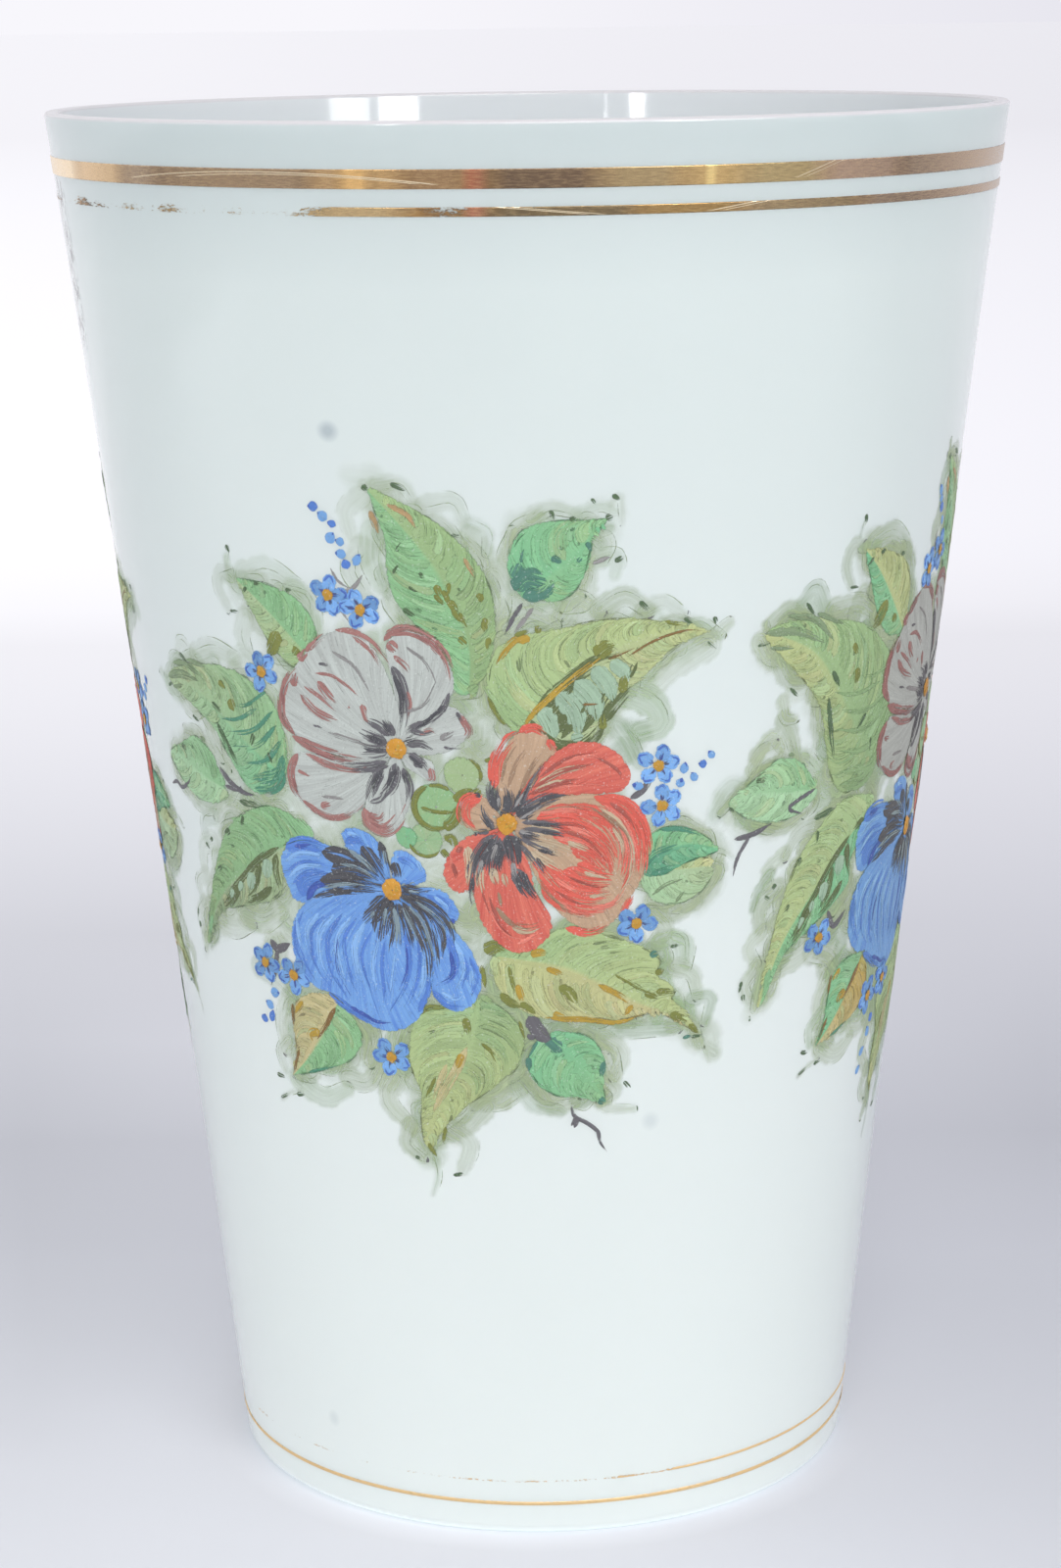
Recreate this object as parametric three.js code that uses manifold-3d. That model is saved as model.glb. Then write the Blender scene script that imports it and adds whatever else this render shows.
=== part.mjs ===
// Opaline glass vase: a plain tapering beaker of milky glass with a ground rim and a thick foot,
// gilded with two bands under the rim and two lines above the foot, and enamelled with four
// raised bouquets, each of a mauve, a red and a blue flower over leaves.
// Millimetres, +Z up, origin at the centre of the foot, front towards -Y.

import * as THREE from 'three';
import { mergeVertices } from 'three/addons/utils/BufferGeometryUtils.js';
import Module from 'manifold-3d';

// Glass beaker
const height = 300;
const rimRadius = 103.2;
const footRadius = 68.7;
const sideBow = 0.75;
const rimWall = 3.0;
const footWall = 4.5;
const floorThickness = 9;
const footRound = 3;
const floorRound = 10;
const rimRound = 0.8;
const footRingWidth = 14;
const recessDepth = 1.5;

// Gilding, counted down from the rim and up from the foot
const wideBandBelowRim = 9;
const wideBandWidth = 3.7;
const narrowBandGap = 3.4;
const narrowBandWidth = 1.8;
const lowerLineHeight = 7.3;
const lowerLineWidth = 0.85;
const footLineGap = 4.7;
const upperLineWidth = 0.6;
const giltThickness = 0.15;

// Enamel bouquets
const bouquetHeight = 155;
const frontTurn = -20;
const bouquetSides = ['front', 'right', 'back', 'left'];
const groundThickness = 0.15;
const leafThickness = 0.3;
const broadLeaf = 8.5;
const petalThickness = 0.25;
const upperPetalThickness = 0.45;
const upperPetalLength = 27;
const heartThickness = 0.7;
const heartRadius = 2.4;
const heartPatchRadius = 3.4;

// Fired layers lie this far off the surface under them
const layerGap = 0.05;

// Facets round the vase, spans up its side, and the finest detail that a joined layer keeps
const segments = 48;
const sideRings = 3;
const finest = 0.01;

const wasm = await Module();
wasm.setup();

const radians = THREE.MathUtils.degToRad;
const turnStep = 360 / bouquetSides.length;

// The side of the glass: a cone, drawn in a little at half height
function sideCurve(z) {
  const share = z / height;
  const cone = footRadius + (rimRadius - footRadius) * share;
  return cone - 4 * sideBow * share * (1 - share);
}

function sideSlope(z) {
  return (rimRadius - footRadius) / height - 4 * sideBow * (1 - 2 * z / height) / height;
}

const footLean = Math.atan(sideSlope(0));
const sideStart = footRound * (1 - Math.sin(footLean));
const sideEnd = height - rimRound;
const sideHeights = Array.from({ length: sideRings + 1 }, (_, i) => sideStart + (sideEnd - sideStart) * i / sideRings);

// Radius of the faceted side, straight between its rings
function sideRadius(z) {
  const step = (sideEnd - sideStart) / sideRings;
  const ring = THREE.MathUtils.clamp(Math.floor((z - sideStart) / step), 0, sideRings - 1);
  const share = (z - sideHeights[ring]) / step;
  return THREE.MathUtils.lerp(sideCurve(sideHeights[ring]), sideCurve(sideHeights[ring + 1]), share);
}

function wallThickness(z) {
  return THREE.MathUtils.lerp(footWall, rimWall, z / height);
}

// Points of an arc round a centre, angles in degrees from the outward direction
function arc(centreR, centreZ, radius, from, to, steps) {
  return Array.from({ length: steps + 1 }, (_, i) => {
    const angle = radians(THREE.MathUtils.lerp(from, to, i / steps));
    return new THREE.Vector2(centreR + radius * Math.cos(angle), centreZ + radius * Math.sin(angle));
  });
}

function revolve(profile) {
  const geometry = new THREE.LatheGeometry(profile, segments);
  geometry.rotateX(Math.PI / 2);
  return geometry;
}

function glassProfile() {
  const lean = THREE.MathUtils.radToDeg(footLean);
  const footCentre = sideCurve(sideStart) - footRound * Math.cos(footLean);
  const recessRadius = footCentre - footRingWidth;
  const dishRadius = (recessRadius ** 2 + recessDepth ** 2) / (2 * recessDepth);
  const dishHalf = THREE.MathUtils.radToDeg(Math.asin(recessRadius / dishRadius));
  const dish = arc(0, recessDepth - dishRadius, dishRadius, 90, 90 - dishHalf, 2);
  const footCorner = arc(footCentre, footRound, footRound, -90, -lean, 3);
  const side = sideHeights.slice(1, -1).map((z) => new THREE.Vector2(sideCurve(z), z));
  const rimOut = arc(sideCurve(sideEnd) - rimRound, sideEnd, rimRound, 0, 90, 2);
  const innerRim = sideCurve(sideEnd) - wallThickness(height);
  const rimIn = arc(innerRim + rimRound, sideEnd, rimRound, 90, 180, 2);
  const innerSide = sideHeights.slice(1, -1).reverse()
    .map((z) => new THREE.Vector2(sideCurve(z) - wallThickness(z), z));
  const bendTop = floorThickness + floorRound * (1 - Math.sin(footLean));
  const bendCentre = sideCurve(bendTop) - wallThickness(bendTop) - floorRound * Math.cos(footLean);
  const floorBend = arc(bendCentre, floorThickness + floorRound, floorRound, -lean, -90, 3);
  const floorCentre = [new THREE.Vector2(0, floorThickness)];
  dish[0].x = 0;
  return [...dish, ...footCorner, ...side, ...rimOut, ...rimIn, ...innerSide, ...floorBend, ...floorCentre];
}

// Ring on the side of the glass between two heights
function bandProfile(bottom, top) {
  const seat = (z) => sideRadius(z) + layerGap;
  return [
    new THREE.Vector2(seat(bottom), bottom),
    new THREE.Vector2(seat(bottom) + giltThickness, bottom),
    new THREE.Vector2(seat(top) + giltThickness, top),
    new THREE.Vector2(seat(top), top),
    new THREE.Vector2(seat(bottom), bottom),
  ];
}

function toSolid(geometry) {
  const bare = geometry.clone();
  bare.deleteAttribute('normal');
  bare.deleteAttribute('uv');
  const merged = mergeVertices(bare, 1e-5);
  return new wasm.Manifold(new wasm.Mesh({
    numProp: 3,
    vertProperties: Float32Array.from(merged.attributes.position.array),
    triVerts: Uint32Array.from(merged.index.array),
  }));
}

function toGeometry(solid) {
  const mesh = solid.simplify(finest).getMesh();
  const geometry = new THREE.BufferGeometry();
  geometry.setAttribute('position', new THREE.BufferAttribute(mesh.vertProperties, 3));
  geometry.setIndex(new THREE.BufferAttribute(mesh.triVerts, 1));
  geometry.computeVertexNormals();
  return geometry;
}

// Layer that follows the whole side, from one offset off the glass to another
function sideLayer(inner, outer) {
  const up = sideHeights.map((z) => new THREE.Vector2(sideCurve(z) + outer, z));
  const down = sideHeights.map((z) => new THREE.Vector2(sideCurve(z) + inner, z)).reverse();
  return toSolid(revolve([...up, ...down, up[0]]));
}

// Cutter for an outline drawn on the side of the vase: across in millimetres from the bouquet's
// centre line, up in millimetres from its centre height, cut straight through the wall.
function cutter(outline, turn) {
  const projected = outline.map((point) => {
    const z = bouquetHeight + point.y;
    return new THREE.Vector2(sideRadius(z) * Math.sin(point.x / sideCurve(z)), z);
  });
  const depth = Math.max(rimRadius, footRadius) + 1;
  const geometry = new THREE.ExtrudeGeometry(new THREE.Shape(projected), { depth, bevelEnabled: false });
  geometry.rotateX(Math.PI / 2);
  geometry.rotateZ(radians(turn));
  return toSolid(geometry);
}

function joined(solids) {
  return wasm.Manifold.union(solids);
}

// Petal: pointed at the flower's heart and round at its tip
function petal(heart, [direction, length, halfWidth, waist, bend]) {
  const steps = 8;
  const along = new THREE.Vector2(1, 0).rotateAround(new THREE.Vector2(), radians(direction));
  const across = new THREE.Vector2(-along.y, along.x);
  return Array.from({ length: steps }, (_, i) => {
    const swing = 2 * Math.PI * (i + 0.5) / steps;
    const reach = (1 - Math.cos(swing)) / 2;
    const width = -Math.sin(swing) * Math.sin(swing / 2) ** waist * halfWidth;
    return heart.clone()
      .addScaledVector(along, length * reach)
      .addScaledVector(across, width + bend * reach * reach);
  });
}

// Leaf: pointed at both ends, widest before the middle, its rib bent to one side
function leaf([baseX, baseY, tipX, tipY, halfWidth, bend]) {
  const steps = 4;
  const base = new THREE.Vector2(baseX, baseY);
  const tip = new THREE.Vector2(tipX, tipY);
  const rib = tip.clone().sub(base);
  const across = new THREE.Vector2(-rib.y, rib.x).normalize();
  const side = (sign) => Array.from({ length: steps - 1 }, (_, i) => {
    const share = (i + 1) / steps;
    const width = sign * halfWidth * Math.sin(Math.PI * share ** 0.8);
    return base.clone()
      .addScaledVector(rib, share)
      .addScaledVector(across, width + bend * Math.sin(Math.PI * share));
  });
  return [base, ...side(-1), tip, ...side(1).reverse()];
}

function disc(centre, radius, steps) {
  return Array.from({ length: steps }, (_, i) => {
    const angle = 2 * Math.PI * i / steps;
    return new THREE.Vector2(centre.x + radius * Math.cos(angle), centre.y + radius * Math.sin(angle));
  });
}

// Flowers: the heart's place, then for each petal its direction, length, half width, waist and bend
const flowers = {
  mauve: {
    heart: [3, 21.5],
    petals: [
      [133, 31, 18, 0.8, 2], [77, 26, 10, 0.8, -3], [207, 28, 9.5, 0.8, 2],
      [258, 19, 7.5, 0.8, 0], [22, 16, 6.5, 0.8, 1],
    ],
  },
  red: {
    heart: [24.3, 6.5],
    petals: [
      [74, 20, 8, 0.8, -1], [29, 28, 8, 1, 1], [-33, 31, 18, 0.8, 3],
      [268, 28, 10.5, 0.8, 1], [228, 18, 5.5, 0.8, -2], [156, 10, 5, 0.8, 0],
    ],
  },
  blue: {
    heart: [0, -8.5],
    petals: [
      [175, 27, 9.5, 0.8, 3], [129, 16, 6.5, 0.8, -1], [54, 10, 5, 0.8, 0],
      [-14, 14.5, 5.5, 0.8, -1], [246, 32, 19, 0.6, -3], [-62, 29, 8, 1, 3],
    ],
  },
};

// Leaves of the front and back bouquets: base, tip, half width and bend of the rib
const frontLeaves = [
  [20, 34, 0, 75, 10.5, -2], [31, 53, 47.5, 70, 8, -1], [28, 26, 66, 45, 11, 3],
  [50, -2, 67, -2, 5.5, 1], [18, -22, 62.5, -41, 9.5, 3], [17, -32, 4, -67, 11.5, -1],
  [28, -40, 42, -55, 8, 0], [-14.5, -34, -28.5, -54, 9, 1], [-14, 5, -55, -30, 10, 0],
  [-27, 8, -59, 31, 9.5, -6], [-42, 10, -62, 10, 6.5, 1], [-14, 37, -34, 54, 8, -1],
];

// Leaves of the side bouquets, laid by hand and so a little differently
const sideLeaves = [
  [16, 34, -1, 72, 10, -2], [29, 52, 46, 68, 8, -1], [27, 25, 63, 44, 10.5, 3],
  [49, -3, 65, -2, 5.5, 1], [17, -23, 60, -41, 9.5, 3], [12, -33, -4, -66, 11, -1],
  [26, -41, 39, -55, 8, 0], [-18, -35, -32, -50, 8.5, 0], [-27, 4, -51, -37, 8, 6],
  [-24, 8, -60, 42, 10, 2], [-43, 8, -64, 9, 6.5, 1], [-18, 38, -36, 58, 8, -1],
];

// Edge of the pale green ground that the whole bouquet is painted on
const groundEdge = [
  [-2, -64], [14, -56], [38, -59], [47, -46], [60, -34], [60, -18], [63, 2], [62, 20], [55, 30],
  [58, 44], [48, 66], [36, 72], [8, 73], [-8, 61], [-34, 58], [-42, 42], [-57, 36], [-58, 22],
  [-63, 6], [-54, -6], [-54, -22], [-38, -34], [-32, -50], [-14, -55],
];

function smoothClosed(points, perPoint) {
  const curve = new THREE.CatmullRomCurve3(points.map(([x, y]) => new THREE.Vector3(x, y, 0)), true);
  return curve.getPoints(points.length * perPoint).slice(0, -1).map((p) => new THREE.Vector2(p.x, p.y));
}

// The long petals are painted last, so they lie over the short ones and stand higher
function buildFlower({ heart, petals }, turn, layers) {
  const centre = new THREE.Vector2(...heart);
  const cut = (shapes) => shapes.map((shape) => cutter(petal(centre, shape), turn));
  const patch = cutter(disc(centre, heartPatchRadius, 8), turn);
  const boss = cutter(disc(centre, heartRadius, 8), turn);
  const upperPetals = petals.filter(([, length]) => length >= upperPetalLength);
  return joined([
    joined([...cut(petals), patch]).intersect(layers.petals),
    joined(cut(upperPetals)).intersect(layers.upperPetals),
    boss.intersect(layers.heart),
  ]);
}

// Broad leaves are built up in relief on the ground; narrow ones are painted as thin as it is
function buildFoliage(leaves, turn, layers) {
  const cut = (shapes) => shapes.map((shape) => cutter(leaf(shape), turn));
  const broad = leaves.filter((shape) => shape[4] >= broadLeaf);
  const narrow = leaves.filter((shape) => shape[4] < broadLeaf);
  const film = joined([cutter(smoothClosed(groundEdge, 1), turn), ...cut(narrow)]);
  return joined([film.intersect(layers.ground), joined(cut(broad)).intersect(layers.leaf)]);
}

const flowerSeat = layerGap + leafThickness + layerGap;
const upperSeat = flowerSeat + petalThickness / 2;
const layers = {
  ground: sideLayer(layerGap, layerGap + groundThickness),
  leaf: sideLayer(layerGap + groundThickness / 2, layerGap + leafThickness),
  petals: sideLayer(flowerSeat, flowerSeat + petalThickness),
  upperPetals: sideLayer(upperSeat, flowerSeat + upperPetalThickness),
  heart: sideLayer(upperSeat, flowerSeat + heartThickness),
};

const opaline = new THREE.MeshStandardMaterial({ color: 0xdfeaea, roughness: 0.12, metalness: 0 });
const gilt = new THREE.MeshStandardMaterial({ color: 0xb98a3c, roughness: 0.3, metalness: 1 });
const enamels = {
  foliage: new THREE.MeshStandardMaterial({ color: 0x93a878, roughness: 0.45, metalness: 0 }),
  mauve: new THREE.MeshStandardMaterial({ color: 0xc9c2bc, roughness: 0.4, metalness: 0 }),
  red: new THREE.MeshStandardMaterial({ color: 0xd8645a, roughness: 0.4, metalness: 0 }),
  blue: new THREE.MeshStandardMaterial({ color: 0x4f7fd6, roughness: 0.4, metalness: 0 }),
};

function named(name, geometry, material) {
  const mesh = new THREE.Mesh(geometry, material);
  mesh.name = name;
  return mesh;
}

function buildGilding() {
  const wideTop = height - wideBandBelowRim;
  const narrowTop = wideTop - wideBandWidth - narrowBandGap;
  const upperBottom = lowerLineHeight + lowerLineWidth + footLineGap;
  const bands = {
    rim_gilt_wide: [wideTop - wideBandWidth, wideTop],
    rim_gilt_narrow: [narrowTop - narrowBandWidth, narrowTop],
    foot_gilt_upper: [upperBottom, upperBottom + upperLineWidth],
    foot_gilt_lower: [lowerLineHeight, lowerLineHeight + lowerLineWidth],
  };
  return Object.entries(bands).map(([name, [bottom, top]]) => named(name, revolve(bandProfile(bottom, top)), gilt));
}

function buildBouquet(side, number) {
  const turn = frontTurn + number * turnStep;
  const leaves = number % 2 ? sideLeaves : frontLeaves;
  const bouquet = new THREE.Group();
  bouquet.name = `${side}_bouquet`;
  bouquet.add(named(`${side}_foliage`, toGeometry(buildFoliage(leaves, turn, layers)), enamels.foliage));
  for (const [colour, flower] of Object.entries(flowers)) {
    const solid = buildFlower(flower, turn, layers);
    bouquet.add(named(`${side}_${colour}_flower`, toGeometry(solid), enamels[colour]));
  }
  return bouquet;
}

const vase = new THREE.Group();
vase.name = 'opaline_vase';
vase.add(named('glass_body', revolve(glassProfile()), opaline));
vase.add(...buildGilding());
vase.add(...bouquetSides.map(buildBouquet));

export default vase;
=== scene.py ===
"""An opaline glass vase: the blown and ground beaker, its gilded lines, and four enamelled bouquets.

The enamel is worked flat, in millimetres across and up from the middle of each bouquet, as coats of
petals, leaves and brush strokes, and is then laid on the side of the glass.
"""
import math

import bpy
import numpy as np
from mathutils import Matrix, Vector


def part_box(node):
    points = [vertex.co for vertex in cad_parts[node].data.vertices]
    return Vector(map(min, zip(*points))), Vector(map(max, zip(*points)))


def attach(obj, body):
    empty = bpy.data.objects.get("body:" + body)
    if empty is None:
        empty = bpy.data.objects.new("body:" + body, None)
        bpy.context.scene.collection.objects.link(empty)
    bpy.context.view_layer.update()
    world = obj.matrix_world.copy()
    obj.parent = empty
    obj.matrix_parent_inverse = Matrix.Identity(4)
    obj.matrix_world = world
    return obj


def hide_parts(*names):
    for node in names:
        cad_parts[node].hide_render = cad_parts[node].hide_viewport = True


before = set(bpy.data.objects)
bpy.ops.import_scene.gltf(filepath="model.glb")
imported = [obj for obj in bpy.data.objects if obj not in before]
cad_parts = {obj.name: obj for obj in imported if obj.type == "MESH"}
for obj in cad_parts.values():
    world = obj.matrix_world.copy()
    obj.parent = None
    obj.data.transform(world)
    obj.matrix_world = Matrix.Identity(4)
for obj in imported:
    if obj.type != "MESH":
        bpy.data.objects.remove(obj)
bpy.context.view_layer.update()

MM = 0.001
LATHE_WELD = 1e-6
PAINT_WELD = 1e-7
SHARP_CORNER = math.radians(50)

# Glass, in millimetres
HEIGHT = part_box("glass_body")[1].z / MM
RIM_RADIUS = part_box("glass_body")[1].x / MM
FOOT_RADIUS = 68.7
SIDE_BOW = 0.75
RIM_WALL = 3.0
FOOT_WALL = 4.5
FLOOR_THICKNESS = 9.0
FOOT_ROUND = 3.0
FLOOR_ROUND = 10.0
RIM_ROUND = 0.8
FOOT_RING_WIDTH = 14.0
RECESS_DEPTH = 1.5
GLASS_STEPS = 288

# Gilding
GILT_THICKNESS = 0.1
GILT_ROUND = 0.15
GILT_STEPS = 360

# Enamel: its place, its gap to the glass, the cells of its relief, and the thickness of each kind of film
BOUQUET_HEIGHT = 155.0
FRONT_TURN = math.radians(-20)
SEAT = 0.03
CELL = 0.8
LEAST_FILM = 0.008
LEAF_FILM = 0.1
PETAL_FILM = 0.16
HEART_FILM = 0.4
TOUCH_FILM = 0.05
HAIR_FILM = 0.03
WASH_HAIR_FILM = 0.02

# How dry a wet brush is, and how far the rim of a crisp touch of thin paint fades
WET = 0.1
CRISP = 0.7

# Camera, worked out from the rim and foot ellipses of the vase
CAMERA_DISTANCE = 0.7622
CAMERA_HEIGHT = 0.3221
CAMERA_PITCH = 0.2221
CAMERA_ROLL = -0.0132
CAMERA_YAW = -0.0015
CAMERA_LENS = 79.9
FILM_WIDTH = 36


def side(z):
    """Radius of the outside of the glass at a height, in millimetres."""
    share = z / HEIGHT
    return FOOT_RADIUS + (RIM_RADIUS - FOOT_RADIUS) * share - 4 * SIDE_BOW * share * (1 - share)


def wall(z):
    return FOOT_WALL + (RIM_WALL - FOOT_WALL) * z / HEIGHT


FOOT_LEAN = math.atan((RIM_RADIUS - FOOT_RADIUS) / HEIGHT - 4 * SIDE_BOW / HEIGHT)


def arc(centre_r, centre_z, radius, start, end, steps):
    """Points of an arc, its angles in radians from the outward direction."""
    angles = np.linspace(start, end, steps + 1)
    return [(centre_r + radius * math.cos(a), centre_z + radius * math.sin(a)) for a in angles]


# Working in Blender

def deselect():
    bpy.ops.object.select_all(action="DESELECT")


def make_object(name, points, edges=(), faces=()):
    mesh = bpy.data.meshes.new(name)
    mesh.from_pydata(points, edges, faces)
    piece = bpy.data.objects.new(name, mesh)
    bpy.context.scene.collection.objects.link(piece)
    return piece


def start_edit(piece):
    """Open a piece in edit mode, by itself and with all of its mesh selected."""
    deselect()
    bpy.context.view_layer.objects.active = piece
    piece.select_set(True)
    bpy.ops.object.mode_set(mode="EDIT")
    bpy.ops.mesh.select_all(action="SELECT")


def turn_on_lathe(name, profile, steps, closed=False):
    """A profile of (radius, height) in millimetres, spun round the axis of the vase."""
    points = [(r * MM, 0, z * MM) for r, z in profile]
    edges = [(i, i + 1) for i in range(len(points) - 1)]
    if closed:
        edges.append((len(points) - 1, 0))
    piece = make_object(name, points, edges)
    start_edit(piece)
    bpy.ops.mesh.spin(steps=steps, angle=2 * math.pi, center=(0, 0, 0), axis=(0, 0, 1))
    bpy.ops.mesh.select_all(action="SELECT")
    bpy.ops.mesh.remove_doubles(threshold=LATHE_WELD)
    bpy.ops.mesh.normals_make_consistent(inside=False)
    bpy.ops.object.mode_set(mode="OBJECT")
    bpy.ops.object.shade_smooth_by_angle(angle=SHARP_CORNER)
    return piece


def finish_piece(piece, node_names, slot, material):
    piece.data.materials.clear()
    piece.data.materials.append(material)
    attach(piece, "root")
    if node_names:
        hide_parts(*node_names)


# Colours and materials

def linear(rgb):
    """An sRGB colour, 0 to 255, as the linear values that a shader takes."""
    values = []
    for channel in rgb:
        c = channel / 255
        values.append(c / 12.92 if c <= 0.04045 else ((c + 0.055) / 1.055) ** 2.4)
    return (*values, 1.0)


def tints(**named):
    return {name: linear(rgb) for name, rgb in named.items()}


class Nodes:
    """A tree of shader nodes, with short helpers to build it."""

    def __init__(self, tree):
        self.tree = tree

    def node(self, kind, **settings):
        made = self.tree.nodes.new(kind)
        for key, value in settings.items():
            setattr(made, key, value)
        return made

    def join(self, source, target):
        self.tree.links.new(source, target)

    def put(self, socket, value):
        if isinstance(value, bpy.types.NodeSocket):
            self.join(value, socket)
        else:
            socket.default_value = value

    def feed(self, made, values):
        """Put values into the first inputs of a node, and give its first output."""
        for socket, value in zip(made.inputs, values):
            self.put(socket, value)
        return made.outputs[0]

    def tune(self, made, **values):
        """Put values into the inputs of a node by name, and give its first output."""
        for name, value in values.items():
            self.put(made.inputs[name], value)
        return made.outputs[0]

    def math(self, operation, a, b=0.0, c=0.0, clamp=False):
        return self.feed(self.node("ShaderNodeMath", operation=operation, use_clamp=clamp), (a, b, c))

    def times(self, a, b):
        return self.math("MULTIPLY", a, b)

    def plus(self, a, b):
        return self.math("ADD", a, b)

    def minus(self, a, b):
        return self.math("SUBTRACT", a, b)

    def from_axis(self, x, y):
        """Distance from the axis of the vase."""
        return self.math("SQRT", self.plus(self.times(x, x), self.times(y, y)))

    def degrees_round(self, x, y):
        """Degrees round the vase from its front, to the right."""
        return self.math("DEGREES", self.math("ARCTAN2", x, self.times(y, -1)))

    def span(self, value, low, high, to_low=0.0, to_high=1.0):
        """Value mapped from one range to another and held inside it."""
        return self.feed(self.node("ShaderNodeMapRange", clamp=True), (value, low, high, to_low, to_high))

    def within(self, value, low, high, soft):
        """One between two values and none outside them."""
        rise = self.span(value, low - soft, low + soft)
        return self.times(rise, self.span(value, high - soft, high + soft, 1.0, 0.0))

    def blend(self, share, low, high):
        made = self.node("ShaderNodeMix", data_type="RGBA")
        colours = [socket for socket in made.inputs if socket.type == "RGBA"]
        for socket, value in zip((made.inputs[0], *colours), (share, low, high)):
            self.put(socket, value)
        return [socket for socket in made.outputs if socket.type == "RGBA"][0]

    def vector(self, x, y, z=0.0):
        return self.feed(self.node("ShaderNodeCombineXYZ"), (x, y, z))

    def noise(self, vector, scale, detail=2.0, roughness=0.5):
        made = self.node("ShaderNodeTexNoise")
        return self.tune(made, Vector=vector, Scale=scale, Detail=detail, Roughness=roughness)

    def streaks(self, x, y, x_grain, y_grain, seed=0.0, scale=1.0, detail=2.0, roughness=0.5):
        """Noise on two values, with a grain of its own each way."""
        place = self.vector(self.times(x, x_grain), self.times(y, y_grain), seed)
        return self.noise(place, scale, detail, roughness)

    def parts(self, vector):
        made = self.node("ShaderNodeSeparateXYZ")
        self.join(vector, made.inputs[0])
        return tuple(made.outputs)


class Finish(Nodes):
    """The material of one finish."""

    def __init__(self, name):
        self.material = bpy.data.materials.new(name)
        self.material.use_nodes = True
        super().__init__(self.material.node_tree)
        self.tree.nodes.clear()
        output = self.node("ShaderNodeOutputMaterial")
        self.surface = self.node("ShaderNodeBsdfPrincipled")
        self.join(self.surface.outputs[0], output.inputs["Surface"])

    def set(self, name, value):
        self.put(self.surface.inputs[name], value)

    def place(self):
        return self.node("ShaderNodeTexCoord").outputs["Object"]

    def attribute(self, name, output="Fac"):
        return self.node("ShaderNodeAttribute", attribute_name=name).outputs[output]

    def brush_tracks(self):
        """How far across and how far along the tracks of the brush a place lies."""
        return self.parts(self.node("ShaderNodeUVMap", uv_map="brush").outputs[0])[:2]

    def bump(self, height, distance, strength):
        return self.tune(self.node("ShaderNodeBump"), Height=height, Distance=distance, Strength=strength)


GLASS = tints(foot=(236, 243, 239), wall=(212, 221, 218), shoulder=(194, 204, 203), inside=(217, 221, 223),
              rim=(208, 205, 207), smudge=(70, 70, 68), spot=(140, 154, 164), glow=(226, 238, 240))
GOLD = tints(tarnish=(132, 106, 82), gold=(176, 138, 88), light=(226, 196, 146), dark=(96, 78, 64),
             scratch=(250, 232, 196))
ENAMEL = tints(glint=(222, 228, 222), pit=(96, 100, 92))

# Where the glass changes, in metres: how deep in the wall the inside begins, and the heights between which
# the painted light that pales the glass towards the foot, the painted shade of the shoulder, the look of
# the inside, the ground rim and the painted glow of the foot come and go
INNER_SKIN = (0.0018, 0.0022)
PAINTED_FOOT_LIGHT = (0.0, 0.31)
PAINTED_SHOULDER_SHADE = (0.268, 0.302)
INSIDE_SEEN = (0.15, 0.27)
RIM_TOP = (0.2991, 0.2996)
PAINTED_FOOT_GLOW = (0.0, 0.0022)

# How far a degree goes round the wall, a dark smudge by its degrees from the front and its heights, and soft
# grey spots in the glass by their degrees, height, size and strength
METRES_PER_DEGREE = 0.0015
SMUDGE_DEGREES = (-80, -73)
SMUDGE_HEIGHTS = (0.2525, 0.2865)
SOFT_SPOTS = ((-24.4, 240.5, 2.4, 0.55), (16.8, 95.3, 2.4, 0.2), (-40, 21.5, 2.2, 0.16),
              (130, 190, 2.2, 0.25))


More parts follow.
